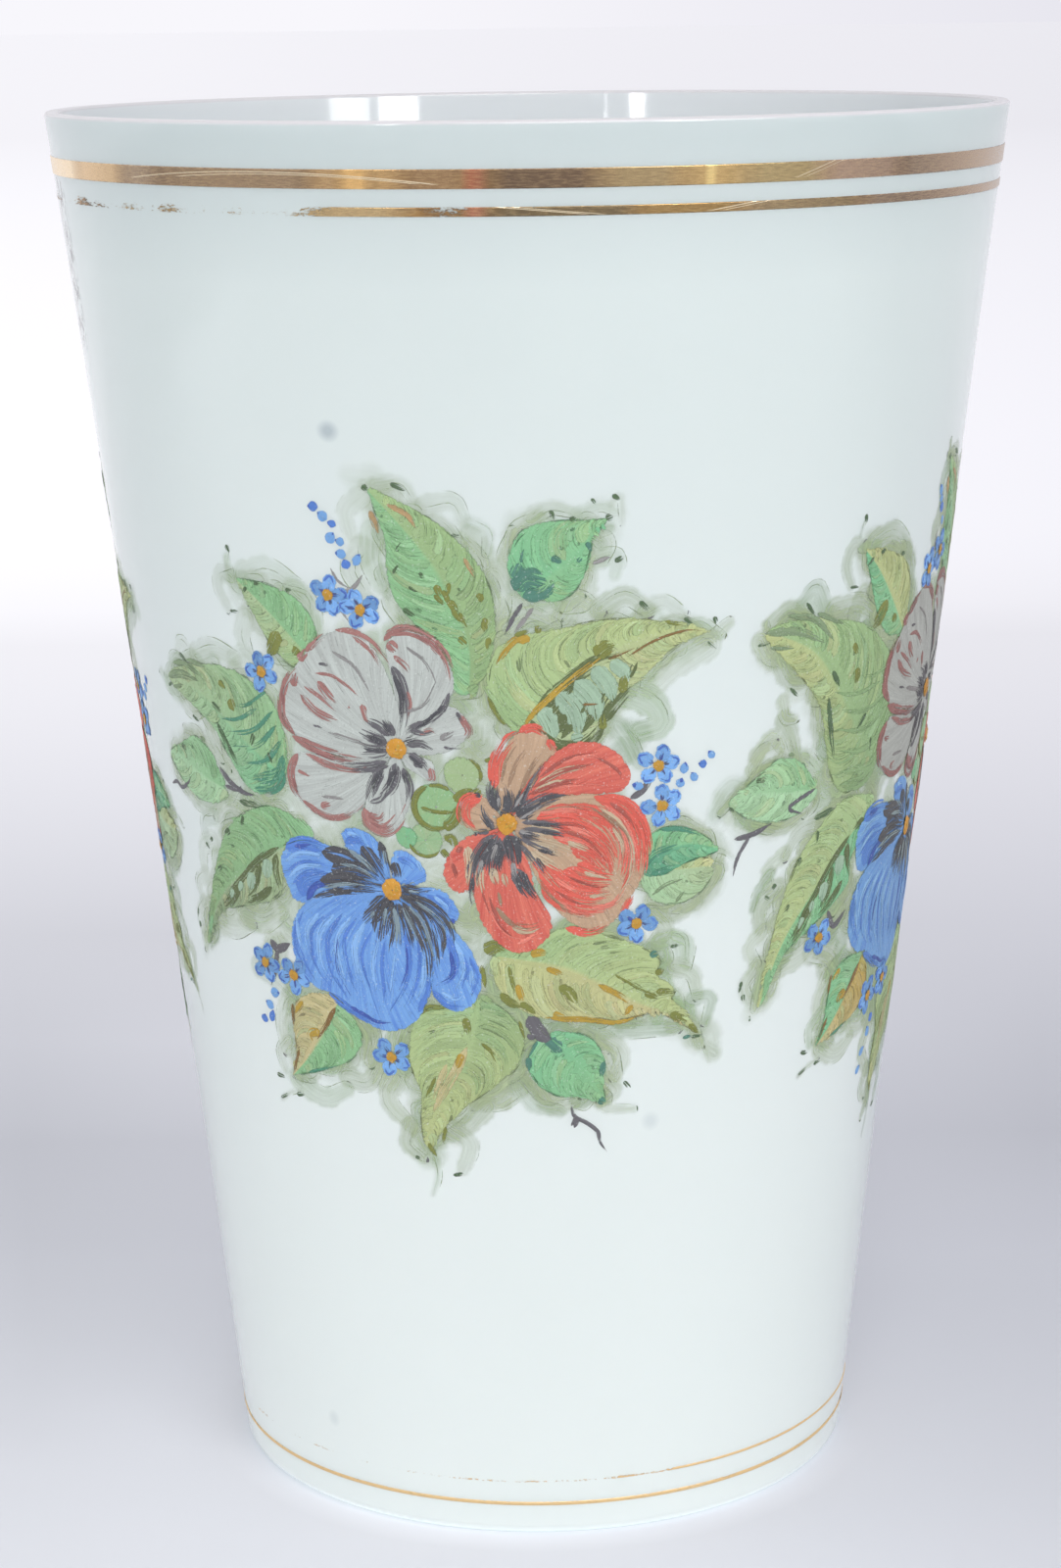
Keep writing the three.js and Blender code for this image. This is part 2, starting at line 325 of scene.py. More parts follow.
def opaline_glass():
    """Milky glass, bluer inside, with a polished skin; painted light makes it palest at the foot, painted
    shade greyest at the shoulder, and a painted glow runs along the lowest edge of the foot.
    """
    f = Finish("opaline_glass")
    place = f.place()
    x, y, height = f.parts(place)
    radius = f.from_axis(x, y)
    lean = (RIM_RADIUS - FOOT_RADIUS) / HEIGHT
    skin = f.minus(f.math("MULTIPLY_ADD", height, lean, FOOT_RADIUS * MM), radius)
    inside = f.span(skin, *INNER_SKIN)
    cloud = f.noise(place, 14, 3)
    # Painted light: the glass pales towards the foot.
    depth = f.span(f.plus(height, f.times(cloud, 0.05)), *PAINTED_FOOT_LIGHT)
    tone = f.blend(depth, GLASS["foot"], GLASS["wall"])
    # Painted shade: the outside greys towards the shoulder.
    tone = f.blend(f.span(height, *PAINTED_SHOULDER_SHADE), tone, GLASS["shoulder"])
    tone = f.blend(f.times(inside, f.span(height, *INSIDE_SEEN)), tone, GLASS["inside"])
    rim = f.span(height, *RIM_TOP)
    tone = f.blend(rim, tone, GLASS["rim"])
    angle = f.degrees_round(x, y)
    smudge = f.times(f.within(angle, *SMUDGE_DEGREES, 1.5), f.within(height, *SMUDGE_HEIGHTS, 0.003))
    smudge = f.times(smudge, f.minus(1.0, inside))
    fleck = f.streaks(angle, height, 0.9, 260, detail=4, roughness=0.7)
    tone = f.blend(f.times(smudge, f.span(fleck, 0.5, 0.53)), tone, GLASS["smudge"])
    for at, up, size, strength in SOFT_SPOTS:
        spot = f.math("POWER", f.times(f.minus(angle, at), METRES_PER_DEGREE), 2)
        spot = f.plus(spot, f.math("POWER", f.minus(height, up * MM), 2))
        near = f.span(f.math("SQRT", spot), size * 0.3 * MM, size * MM, strength, 0.0)
        tone = f.blend(near, tone, GLASS["spot"])
    f.set("Base Color", tone)
    # Painted light: the lowest edge of the foot glows over its contact with the table.
    f.set("Emission Color", GLASS["glow"])
    f.set("Emission Strength", f.span(height, *PAINTED_FOOT_GLOW, 0.4, 0.0))
    f.set("Subsurface Weight", 0.35)
    f.set("Subsurface Radius", (1.0, 1.05, 1.1))
    f.set("Subsurface Scale", 0.006)
    smear = f.noise(place, 40, 4, 0.6)
    f.set("Roughness", f.math("MAXIMUM", f.span(smear, 0.3, 0.8, 0.05, 0.11), f.times(rim, 0.3)))
    f.set("IOR", 1.5)
    wave = f.noise(place, 22, 1)
    f.set("Normal", f.bump(wave, 0.0002, f.span(inside, 0.0, 1.0, 0.35, 0.8)))
    return f.material


def scratch(f, angle, height, start, end, bow, width):
    """A fine scratch from one (angle, height) to another, in degrees and millimetres."""
    (a0, z0), (a1, z1) = start, end
    share = f.span(angle, a0, a1)
    line = f.math("MULTIPLY_ADD", share, z1 - z0, z0)
    sag = f.times(f.times(share, f.minus(1.0, share)), 4 * bow)
    off = f.math("ABSOLUTE", f.minus(height, f.plus(line, sag)))
    return f.times(f.span(off, width, width * 0.5), f.within(angle, a0, a1, 0.6))


def gilding(name, centre, tones, worn=(), scratches=(), rough=0.24, shine=1.0, frayed=0.04):
    """Fired gold, brown where it has tarnished, scratched, and rubbed through in places, with painted
    reflections in its tones. tones are (from, to, colour) and worn are (from, to, how much), both in degrees
    round the vase."""
    f = Finish(name)
    x, y, z = f.parts(f.place())
    angle = f.degrees_round(x, y)
    height = f.times(z, 1 / MM)
    drift = f.streaks(angle, height, 0.05, 0.05, 3.0, 2.6, 3, 0.6)
    grain = f.streaks(angle, height, 0.7, 2.6, 0.0, 1.2, 3, 0.6)
    tone = f.blend(f.span(drift, 0.38, 0.62), GOLD["tarnish"], GOLD["gold"])
    # Tones by angle: tarnish, and painted reflections in the pale and bright bands.
    for low, high, colour in tones:
        tone = f.blend(f.within(angle, low, high, min(2.4, 0.3 * (high - low))), tone, linear(colour))
    tone = f.blend(f.span(grain, 0.45, 0.8, 0, 0.3), tone, GOLD["light"])
    tone = f.blend(f.span(grain, 0.48, 0.25, 0, 0.25), tone, GOLD["dark"])
    for mark in scratches:
        tone = f.blend(scratch(f, angle, height, *mark), tone, GOLD["scratch"])
    f.set("Base Color", tone)
    f.set("Metallic", shine)
    f.set("Roughness", f.span(grain, 0.3, 0.7, rough - 0.06, rough + 0.1))
    f.set("Normal", f.bump(grain, 0.00001, 0.2))
    middle, half = centre
    aside = f.math("DIVIDE", f.minus(height, middle), half)
    loss = f.span(f.math("ABSOLUTE", aside), 0.55, 1.0, 0.0, frayed)
    for low, high, much in worn:
        from_top = f.span(aside, -1.0, 0.8, much * 0.82, much * 1.12)
        loss = f.plus(loss, f.times(f.within(angle, low, high, 2.5), from_top))
    patch = f.noise(f.vector(f.times(angle, 0.12), 5.0), 1.0, 2)
    loss = f.plus(loss, f.times(loss, f.span(patch, 0.3, 0.7, -0.3, 0.3)))
    flake = f.streaks(angle, height, 0.8, 1.7, 7.0, 1.9, 6, 0.75)
    f.set("Alpha", f.span(f.minus(flake, f.plus(loss, 0.17)), -0.03, 0.03))
    return f.material


FOOT_GOLD = ((-181, 181, (232, 200, 148)),)

# Tarnish, wear and scratches of each line of gold, in degrees round the vase from the front; the tones are
# partly tarnish and partly painted reflections, the pale and bright bands among them painted reflections
GILT_WEAR = {
    "rim_gilt_wide": dict(
        tones=((-90, -64, (246, 222, 184)), (-64, -52, (225, 193, 150)), (-52, -45, (194, 170, 142)),
               (-46, -24, (178, 152, 122)), (-24, -20.5, (200, 165, 120)), (-20.5, -17, (244, 197, 130)),
               (-17, -13.5, (206, 168, 116)), (-13.5, -6.6, (168, 136, 100)), (-6.6, -4.5, (192, 122, 92)),
               (-4.5, 8, (118, 98, 80)), (8, 17, (168, 146, 108)), (17, 25, (200, 168, 114)),
               (19.4, 20.4, (236, 206, 140)), (24, 35, (190, 168, 122)), (34, 46, (202, 172, 146)),
               (46, 90, (182, 158, 134)), (110, 160, (188, 150, 98)), (-160, -120, (140, 114, 88))),
        scratches=(((-50, 288.6), (-10, 288.2), 2.0, 0.12), ((-42, 289.2), (-12, 288.3), 1.2, 0.09),
                   ((30.5, 288.1), (36.5, 291.6), 0, 0.1), ((31.4, 288.0), (37.2, 291.3), 0, 0.06),
                   ((120, 291), (150, 288.4), 0.8, 0.1))),
    "rim_gilt_narrow": dict(
        tones=((-56, -14, (206, 178, 132)), (-6.6, -4.5, (196, 132, 104)), (-4.5, 12, (124, 108, 82)),
               (12, 24, (160, 130, 84)), (24, 40, (168, 146, 112)), (40, 90, (178, 154, 130))),
        worn=((-100, -25, 0.46), (-25, -21, 0.3), (-12, -6, 0.34), (-3, 3, 0.16), (60, 66, 0.2),
              (140, 190, 0.25)),
        scratches=(((-4, 284.0), (6, 282.4), 0, 0.08), ((-2.4, 284.0), (8, 282.3), 0, 0.06),
                   ((20, 282.4), (26.4, 284.1), 0, 0.1), ((21.6, 282.4), (28, 284.1), 0, 0.07))),
    "foot_gilt_upper": dict(
        tones=FOOT_GOLD, rough=0.55, shine=0.6, frayed=0.16,
        worn=((-185, -32, 0.5), (-32, -14, 0.47), (-14, 12, 0.43), (12, 24, 0.34), (28, 30, 0.2),
              (24, 60, 0.1), (120, 185, 0.3))),
    "foot_gilt_lower": dict(
        tones=FOOT_GOLD, rough=0.55, shine=0.6, frayed=0.14,
        worn=((34, 37, 0.16), (-44, -43, 0.2), (-181, 181, 0.14), (150, 170, 0.2))),
}


# Glass and gilding

def blow_glass():
    start = FOOT_ROUND * (1 - math.sin(FOOT_LEAN))
    end = HEIGHT - RIM_ROUND
    foot_centre = side(start) - FOOT_ROUND * math.cos(FOOT_LEAN)
    recess = foot_centre - FOOT_RING_WIDTH
    dish = (recess ** 2 + RECESS_DEPTH ** 2) / (2 * RECESS_DEPTH)
    dish_half = math.asin(recess / dish)
    quarter = math.pi / 2
    hollow = arc(0, RECESS_DEPTH - dish, dish, quarter, quarter - dish_half, 8)
    hollow[0] = (0, hollow[0][1])
    corner = arc(foot_centre, FOOT_ROUND, FOOT_ROUND, -quarter, -FOOT_LEAN, 10)
    heights = np.linspace(start, end, 33)[1:-1]
    outside = [(side(z), z) for z in heights]
    rim_out = arc(side(end) - RIM_ROUND, end, RIM_ROUND, 0, quarter, 6)
    inner_rim = side(end) - wall(HEIGHT)
    rim_in = arc(inner_rim + RIM_ROUND, end, RIM_ROUND, quarter, math.pi, 6)
    bend_top = FLOOR_THICKNESS + FLOOR_ROUND * (1 - math.sin(FOOT_LEAN))
    inside = [(side(z) - wall(z), z) for z in heights[::-1] if z > bend_top + 1]
    bend_centre = side(bend_top) - wall(bend_top) - FLOOR_ROUND * math.cos(FOOT_LEAN)
    bend = arc(bend_centre, FLOOR_THICKNESS + FLOOR_ROUND, FLOOR_ROUND, -FOOT_LEAN, -quarter, 10)
    floor = [(r, FLOOR_THICKNESS) for r in np.linspace(bend_centre, 0, 6)[1:]]
    profile = [*hollow, *corner, *outside, *rim_out, *rim_in, *inside, *bend, *floor]
    piece = turn_on_lathe("opaline_beaker", profile, GLASS_STEPS)
    finish_piece(piece, ["glass_body"], "opaline_glass", opaline_glass())


def gild_line(node):
    """A line of gold at the height of its node, thick in the middle and thin at its edges."""
    low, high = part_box(node)
    bottom, top = low.z / MM, high.z / MM
    rise = min(GILT_ROUND, (top - bottom) / 4)
    outer = [(bottom, 0), (bottom + rise * 0.6, 0.8), (bottom + rise, 1), (bottom + rise * 1.3, 1),
             (top - rise * 1.3, 1), (top - rise, 1), (top - rise * 0.6, 0.8), (top, 0)]
    profile = [(side(z) + SEAT + GILT_THICKNESS * full, z) for z, full in outer]
    profile += [(side(z) + SEAT / 2, z) for z in (top, bottom)]
    piece = turn_on_lathe(node + "_line", profile, GILT_STEPS, closed=True)
    gold = gilding(node + "_gold", ((bottom + top) / 2, (top - bottom) / 2), **GILT_WEAR[node])
    finish_piece(piece, [node], "gilding", gold)


# Enamel, worked flat in millimetres

def run_along(path):
    """How far along a path each of its points lies."""
    return np.concatenate(([0], np.cumsum(np.linalg.norm(np.diff(path, axis=0), axis=1))))


def domed(thickness, edge):
    """A film that thins towards the rim of its paint."""
    return thickness * np.minimum(1, 0.25 + edge / 1.5)


def smooth_path(points, count, closed=False):
    """Evenly spaced points on a curve through the given ones."""
    p = np.array(points, float)
    if closed:
        p = np.vstack((p[-1:], p, p[:2]))
    else:
        p = np.vstack((2 * p[0] - p[1], p, 2 * p[-1] - p[-2]))
    t = np.linspace(0, 1, 12, endpoint=False)[:, None]
    pieces = []
    for a, b, c, d in zip(p, p[1:], p[2:], p[3:]):
        pieces.append(0.5 * (2 * b + (c - a) * t + (2 * a - 5 * b + 4 * c - d) * t ** 2
                             + (3 * b - a - 3 * c + d) * t ** 3))
    fine = np.vstack((*pieces, p[-2]))
    run = run_along(fine)
    at = np.linspace(0, run[-1], count + 1)[:-1] if closed else np.linspace(0, run[-1], count)
    return np.stack([np.interp(at, run, fine[:, i]) for i in range(2)], 1)


def side_normals(path):
    ahead = np.gradient(path, axis=0)
    ahead /= np.maximum(np.linalg.norm(ahead, axis=1), 1e-9)[:, None]
    return np.stack((-ahead[:, 1], ahead[:, 0]), 1)


def distance_to(points, outline):
    """Least distance from each point to a row of short straight lines."""
    start, along = outline[:-1], np.diff(outline, axis=0)
    length = np.maximum((along ** 2).sum(1), 1e-12)
    offset = points[:, None] - start
    share = np.clip((offset * along).sum(2) / length, 0, 1)
    return np.sqrt(((offset - share[..., None] * along) ** 2).sum(2).min(1))


class Relief:
    """How high the enamel stands off the glass so far, over the area of one bouquet."""
    reach = 90

    def __init__(self):
        cells = int(2 * self.reach / CELL)
        self.top = np.full((cells, cells), SEAT)

    def cell(self, points):
        at = ((points + self.reach) / CELL).astype(int)
        return np.clip(at, 1, len(self.top) - 2)

    def under(self, points):
        i, j = self.cell(points).T
        around = [self.top[i + a, j + b] for a in (-1, 0, 1) for b in (-1, 0, 1)]
        return 0.5 * np.max(around, axis=0) + 0.5 * np.mean(around, axis=0)

    def raise_to(self, flat, lift, closed=False):
        """Raise every cell under a grid of points, also those between the points."""
        if closed:
            flat, lift = np.concatenate((flat, flat[:1])), np.concatenate((lift, lift[:1]))
        grid = np.concatenate((flat, lift[..., None]), 2)
        gap = max(np.abs(np.diff(flat, axis=0)).max(), np.abs(np.diff(flat, axis=1)).max())
        steps = int(np.clip(np.ceil(gap / (0.8 * CELL)), 1, 5))
        for a in np.arange(steps) / steps:
            rows = grid[:-1] * (1 - a) + grid[1:] * a
            for b in np.arange(steps) / steps:
                spots = (rows[:, :-1] * (1 - b) + rows[:, 1:] * b).reshape(-1, 3)
                i, j = self.cell(spots[:, :2]).T
                np.maximum.at(self.top, (i, j), spots[:, 2])


class Coat:
    """One fired coat: the sheets of paint that are brushed on together and make one piece."""

    def __init__(self, relief):
        self.relief = relief
        self.parts = []

    def sheet(self, flat, thickness, brush, light, dark, edge, dry=0.0, closed=False, bulk=1.0):
        """A grid of points (rows, columns, 2) laid on what is under it. brush is the place across
        and along the hairs, edge the distance to the rim of the paint, and bulk the share of its
        thickness that carries what comes over it."""
        rows, columns = flat.shape[:2]
        points = flat.reshape(-1, 2)
        under = self.relief.under(points)
        lift = under + np.broadcast_to(thickness, (rows, columns)).ravel() + LEAST_FILM
        carried = lift if bulk == 1.0 else under + (lift - under) * bulk
        faces = []
        for i in range(rows if closed else rows - 1):
            for j in range(columns - 1):
                a, b = i * columns + j, ((i + 1) % rows) * columns + j
                faces.append((a, b, b + 1, a + 1))

        def fill(value, size):
            return np.broadcast_to(value, (rows, columns, size)).reshape(-1, size)

        edge, dry = (np.broadcast_to(value, (rows, columns)).ravel() for value in (edge, dry))
        self.parts.append(dict(points=np.column_stack((points, lift)), faces=np.array(faces),
                               brush=fill(brush, 2), light=fill(light, 3), dark=fill(dark, 3), edge=edge,
                               dry=dry))
        self.relief.raise_to(flat, carried.reshape(rows, columns), closed)

    def fan(self, heart, outline, light, dark, rays, rings, thickness, curl=0.0, closed=False):
        """A petal or a dab: rays of paint from its heart to its outline."""
        centre = np.array(heart, float)
        rim = smooth_path(outline, rays, closed)
        share = np.linspace(0.05, 1, rings)
        reach = rim - centre
        turn = curl * (1 - share)
        cos, sin = np.cos(turn), np.sin(turn)
        flat = np.stack((reach[:, :1] * cos - reach[:, 1:] * sin, reach[:, :1] * sin + reach[:, 1:] * cos), 2)
        flat = centre + flat * share[None, :, None]
        around = np.broadcast_to(run_along(rim)[:, None], flat.shape[:2])
        brush = np.stack((around, np.linalg.norm(reach, axis=1)[:, None] * share), 2)
        line = np.vstack((rim, rim[:1])) if closed else np.vstack((centre, rim, centre))
        edge = distance_to(flat.reshape(-1, 2), line).reshape(flat.shape[:2])
        seed = np.round(centre.sum() * 7 + rays, 2)
        self.sheet(flat, domed(thickness, edge), brush + seed, light, dark, edge, closed=closed)

    def stroke(self, path, width, light, dark, dry=0.0, thickness=TOUCH_FILM, tip=0.35, tail=0.1, steps=12):
        """One touch of the brush along a path: full in the middle, pointed where it lifts off."""
        line = smooth_path(path, steps)
        share = np.linspace(0, 1, steps)
        taper = np.minimum(1, share / tail) ** 0.5 * np.minimum(1, (1 - share) / tip) ** 0.7
        half = width / 2 * np.maximum(taper, 0.06)
        across = np.linspace(-1, 1, 5)
        flat = line[:, None] + side_normals(line)[:, None] * (half[:, None] * across)[..., None]
        along = np.broadcast_to(run_along(line)[:, None], flat.shape[:2])
        brush = np.stack((half[:, None] * across, along), 2)
        edge = half[:, None] * (1 - np.abs(across))
        body = thickness * (1 - across ** 2)[None] * np.minimum(1, taper + 0.2)[:, None]
        seed = np.round(float(line[0].sum()) * 13, 2)
        dryness = dry * (0.3 + 0.7 * share[:, None] ** 1.5) * np.ones(5)
        self.sheet(flat, body, brush + seed, light, dark, edge + 0.12, dryness, bulk=0.35)

    def object(self, name, turn):
        """The coat as a mesh on the side of the glass."""
        def joined(key):
            return np.concatenate([part[key] for part in self.parts])

        start = np.cumsum([0] + [len(part["points"]) for part in self.parts])
        faces = np.vstack([part["faces"] + first for part, first in zip(self.parts, start)])
        x, y, lift = joined("points").T
        z = BOUQUET_HEIGHT + y
        angle = turn + x / side(z)
        radius = side(z) + lift
        placed = np.stack((radius * np.sin(angle), -radius * np.cos(angle), z), 1) * MM
        piece = make_object(name, placed.tolist(), (), faces.tolist())
        mesh = piece.data
        for key in ("light", "dark"):
            colour = mesh.attributes.new(key, "FLOAT_COLOR", "POINT")
            colour.data.foreach_set("color", np.column_stack((joined(key), np.ones(len(placed)))).ravel())
        for key in ("edge", "dry"):
            mesh.attributes.new(key, "FLOAT", "POINT").data.foreach_set("value", joined(key))
        corners = np.zeros(len(mesh.loops), int)
        mesh.loops.foreach_get("vertex_index", corners)
        mesh.uv_layers.new(name="brush").data.foreach_set("uv", joined("brush")[corners].ravel())
        start_edit(piece)
        bpy.ops.mesh.remove_doubles(threshold=PAINT_WELD)
        bpy.ops.object.mode_set(mode="OBJECT")
        bpy.ops.object.shade_smooth()
        return piece


def enamel(name, hairs, contrast=1.0, soft=1.0):
    """Vitreous enamel: the tracks of the brush in two tones, ragged at the rim of each touch, with painted
    glints on pale specks and painted shade in dark pits.
    """
    f = Finish(name)
    across, along = f.brush_tracks()
    streak = f.streaks(across, along, hairs, 0.07, detail=3, roughness=0.65)
    band = f.streaks(across, along, hairs / 5, 0.06, 3.0)
    fine = f.span(streak, 0.5 - 0.15 / contrast, 0.5 + 0.15 / contrast)
    share = f.plus(f.times(fine, 0.62), f.span(band, 0.36, 0.64, 0.0, 0.38))
    colour = f.blend(share, f.attribute("dark", "Color"), f.attribute("light", "Color"))
    pits = f.noise(f.place(), 2400, 2)
    # Painted glints on pale specks, and painted shade in dark pits of the enamel.
    colour = f.blend(f.span(pits, 0.64, 0.7, 0.0, 0.38), colour, ENAMEL["glint"])
    colour = f.blend(f.span(pits, 0.36, 0.31, 0.0, 0.3), colour, ENAMEL["pit"])
    f.set("Base Color", colour)
    ragged = f.noise(f.place(), 1000, 4, 0.65)
    rim = f.plus(f.attribute("edge"), f.times(f.minus(ragged, 0.56), 1.5))
    cover = f.span(rim, -0.05 * soft, 0.07 * soft)
    hair = f.streaks(across, along, 3.4, 0.12, 9.0)
    gap = f.minus(f.span(hair, 0.3, 0.7), f.attribute("dry"))
    f.set("Alpha", f.times(cover, f.span(gap, -0.08, 0.06)))
    f.set("Roughness", f.span(streak, 0.3, 0.7, 0.4, 0.55))
    f.set("Specular IOR Level", 0.3)
    f.set("Normal", f.bump(streak, 0.00012, 0.5))
    return f.material


# Paints, as sRGB

PAINTS = {name: np.array(linear(rgb)[:3]) for name, rgb in {
    "ink": (82, 82, 86), "smoke": (104, 102, 106), "ash": (146, 144, 142), "steel": (134, 152, 160),
    "ochre": (198, 138, 46), "honey": (212, 158, 66), "gold": (178, 148, 62), "umber": (130, 102, 62),
    "tan": (190, 180, 134), "tan rose": (176, 148, 108), "beige": (194, 175, 147), "dun": (158, 130, 106),
    "pink": (150, 106, 102), "old rose": (164, 118, 112), "scarlet": (216, 100, 86), "brick": (166, 90, 80),
    "salmon": (222, 128, 112), "sand": (190, 160, 132), "mint": (136, 181, 133),
    "pale mint": (162, 197, 156), "olive mint": (156, 183, 131), "fern": (138, 166, 118),
    "lime": (178, 186, 131), "pale lime": (182, 189, 138), "jade": (120, 183, 138),
    "deep jade": (84, 142, 116), "teal": (84, 130, 114), "sage": (166, 184, 144),
    "grey sage": (128, 148, 114), "olive": (126, 132, 68), "moss": (98, 110, 72), "forest": (84, 106, 76),
    "lichen": (156, 182, 156), "sky": (122, 170, 224), "pale blue": (138, 182, 232),
    "cobalt": (90, 132, 208), "navy": (70, 94, 172), "ground": (160, 176, 130),
    "pale ground": (176, 190, 148), "pearl": (199, 206, 200), "pearl grey": (169, 173, 168),
    "coral": (224, 126, 106), "coral red": (196, 86, 78), "bluebell": (130, 178, 228),
    "blue": (90, 134, 210),
}.items()}

# Flowers: the heart and the two tones of its petals, then each petal by the turn of its brush tracks, its
# outline from one side of the heart round to the other, and its own paint where it has one
FLOWERS = {"mauve": ((2.8, 21.5), "pearl", "pearl grey", [
    (0.1, [(6, 20), (10, 20.5), (14, 21.5), (18, 25), (17.5, 28.5), (14, 31), (10, 27.5), (6, 24)]),
    (0, [(4, 18), (7, 16), (10, 15), (10.5, 17.5), (9.5, 19.5), (6, 20.5)]),
    (0.25, [(-1, 18.5), (-7, 17.5), (-13, 17.5), (-18.5, 19.2), (-22, 17), (-22.7, 13), (-21, 9), (-17, 6),
        (-12, 5.5), (-7, 7.2), (-4, 11), (-1, 16)]),
    (-0.1, [(-0.5, 17), (-3, 13), (-5.5, 8.5), (-5.2, 5), (-3, 3), (0, 3.3), (3, 6.5), (5, 11), (4.5, 17)]),
    (-0.3, [(3.4, 25), (3, 31), (2.5, 37), (1.6, 42), (4, 45.4), (8, 46), (12, 44), (15, 39), (15.3, 34),
        (12.5, 30), (8.5, 26.5), (5, 23.5)]),
    (0.3, [(1, 19.5), (-6, 18.8), (-13, 19.5), (-20, 22), (-23.6, 27), (-22.8, 32), (-19, 37), (-14, 42.5),
        (-8.5, 45.4), (-3, 44.5), (0.5, 40), (2.8, 34), (4.2, 28), (3.6, 24)]),
]), "red": ((24.3, 6.5), "coral", "coral red", [
    (0, [(22, 7.5), (20.3, 12.3), (17.5, 12.2), (15.3, 9.5), (15.6, 6.4), (18, 4.6), (21.5, 5)], "sand"),
    (0.2, [(21.5, 4.2), (17, 4), (13.5, 1.5), (10.8, -3), (11.2, -6.5), (13.4, -8.6), (16, -8), (17.2, -4),
        (19.5, 0.5), (22.5, 3)]),
    (-0.15, [(23, 9), (22.3, 15), (23, 19), (25.2, 23), (28, 26), (31.3, 26.2), (34, 24), (35.2, 21),
        (31, 16.5), (27, 10.5)], "sand"),
    (0.25, [(26.5, 10), (30, 16), (35.5, 22), (41.5, 23.4), (47, 21), (49.7, 16.5), (48.3, 12.8), (42, 12.2),
        (35, 11.6), (28.5, 8.5)]),
    (0.45, [(27, 8.5), (32, 11), (38, 12.4), (44, 12), (49, 9.5), (52.2, 4), (52, -3), (49.5, -9), (46, -14),
        (42, -16.7), (38, -16), (34, -13), (30.8, -8), (28.3, -2), (26, 4)], "sand"),
    (-0.15, [(26, 4), (28, -1), (29, -5), (29.2, -10), (32, -13), (32, -17), (29, -20.2), (25, -21.3),
        (21, -19), (18.4, -15.5), (17, -10.5), (16.5, -5), (18, -1), (21, 3)]),
]), "blue": ((0, -8.5), "bluebell", "blue", [
    (0.1, [(-1, -6), (-5, -3), (-10, -0.6), (-11.6, 2), (-9, 4), (-5, 3.4), (-2.3, 1), (-0.7, -3)]),
    (-0.1, [(-0.3, -5), (0, -1.5), (0.7, -0.3), (3, 0.1), (5.5, -1.7), (7.2, -4.4), (6.6, -6.8), (3, -7)]),
    (0.1, [(2, -7.5), (5, -9), (8, -7.6), (11, -8.4), (13, -11), (13.7, -14), (12.6, -15), (9.5, -14.2),
        (6, -12), (2.5, -10)]),
    (-0.35, [(-1.5, -7), (-7, -3.5), (-12, -1), (-17.5, 0.2), (-22, -0.3), (-26, -3), (-26.8, -6.5),
        (-25.5, -11), (-24, -13.6), (-19, -13.8), (-13, -12), (-6, -10.5), (-1.5, -10)]),
    (0.3, [(2, -10.5), (6, -12.5), (10, -14.8), (14, -18.5), (16.8, -23.5), (17.3, -28.5), (15.5, -32.5),
        (12, -34.4), (8.6, -33), (6.6, -29.5), (6.8, -27.2), (7.8, -24), (6, -18), (2, -13)]),
    (-0.5, [(-1.5, -10.5), (-8, -12.5), (-15, -13.2), (-21, -14), (-24.6, -17.5), (-25.8, -23),
        (-24.4, -28.5), (-20.5, -32.3), (-16, -33), (-12, -36.3), (-6.5, -39.3), (-1.5, -39.6), (3, -37),
        (6, -32), (7.3, -26), (6.4, -19), (3.4, -13), (1, -10.5)]),
])}

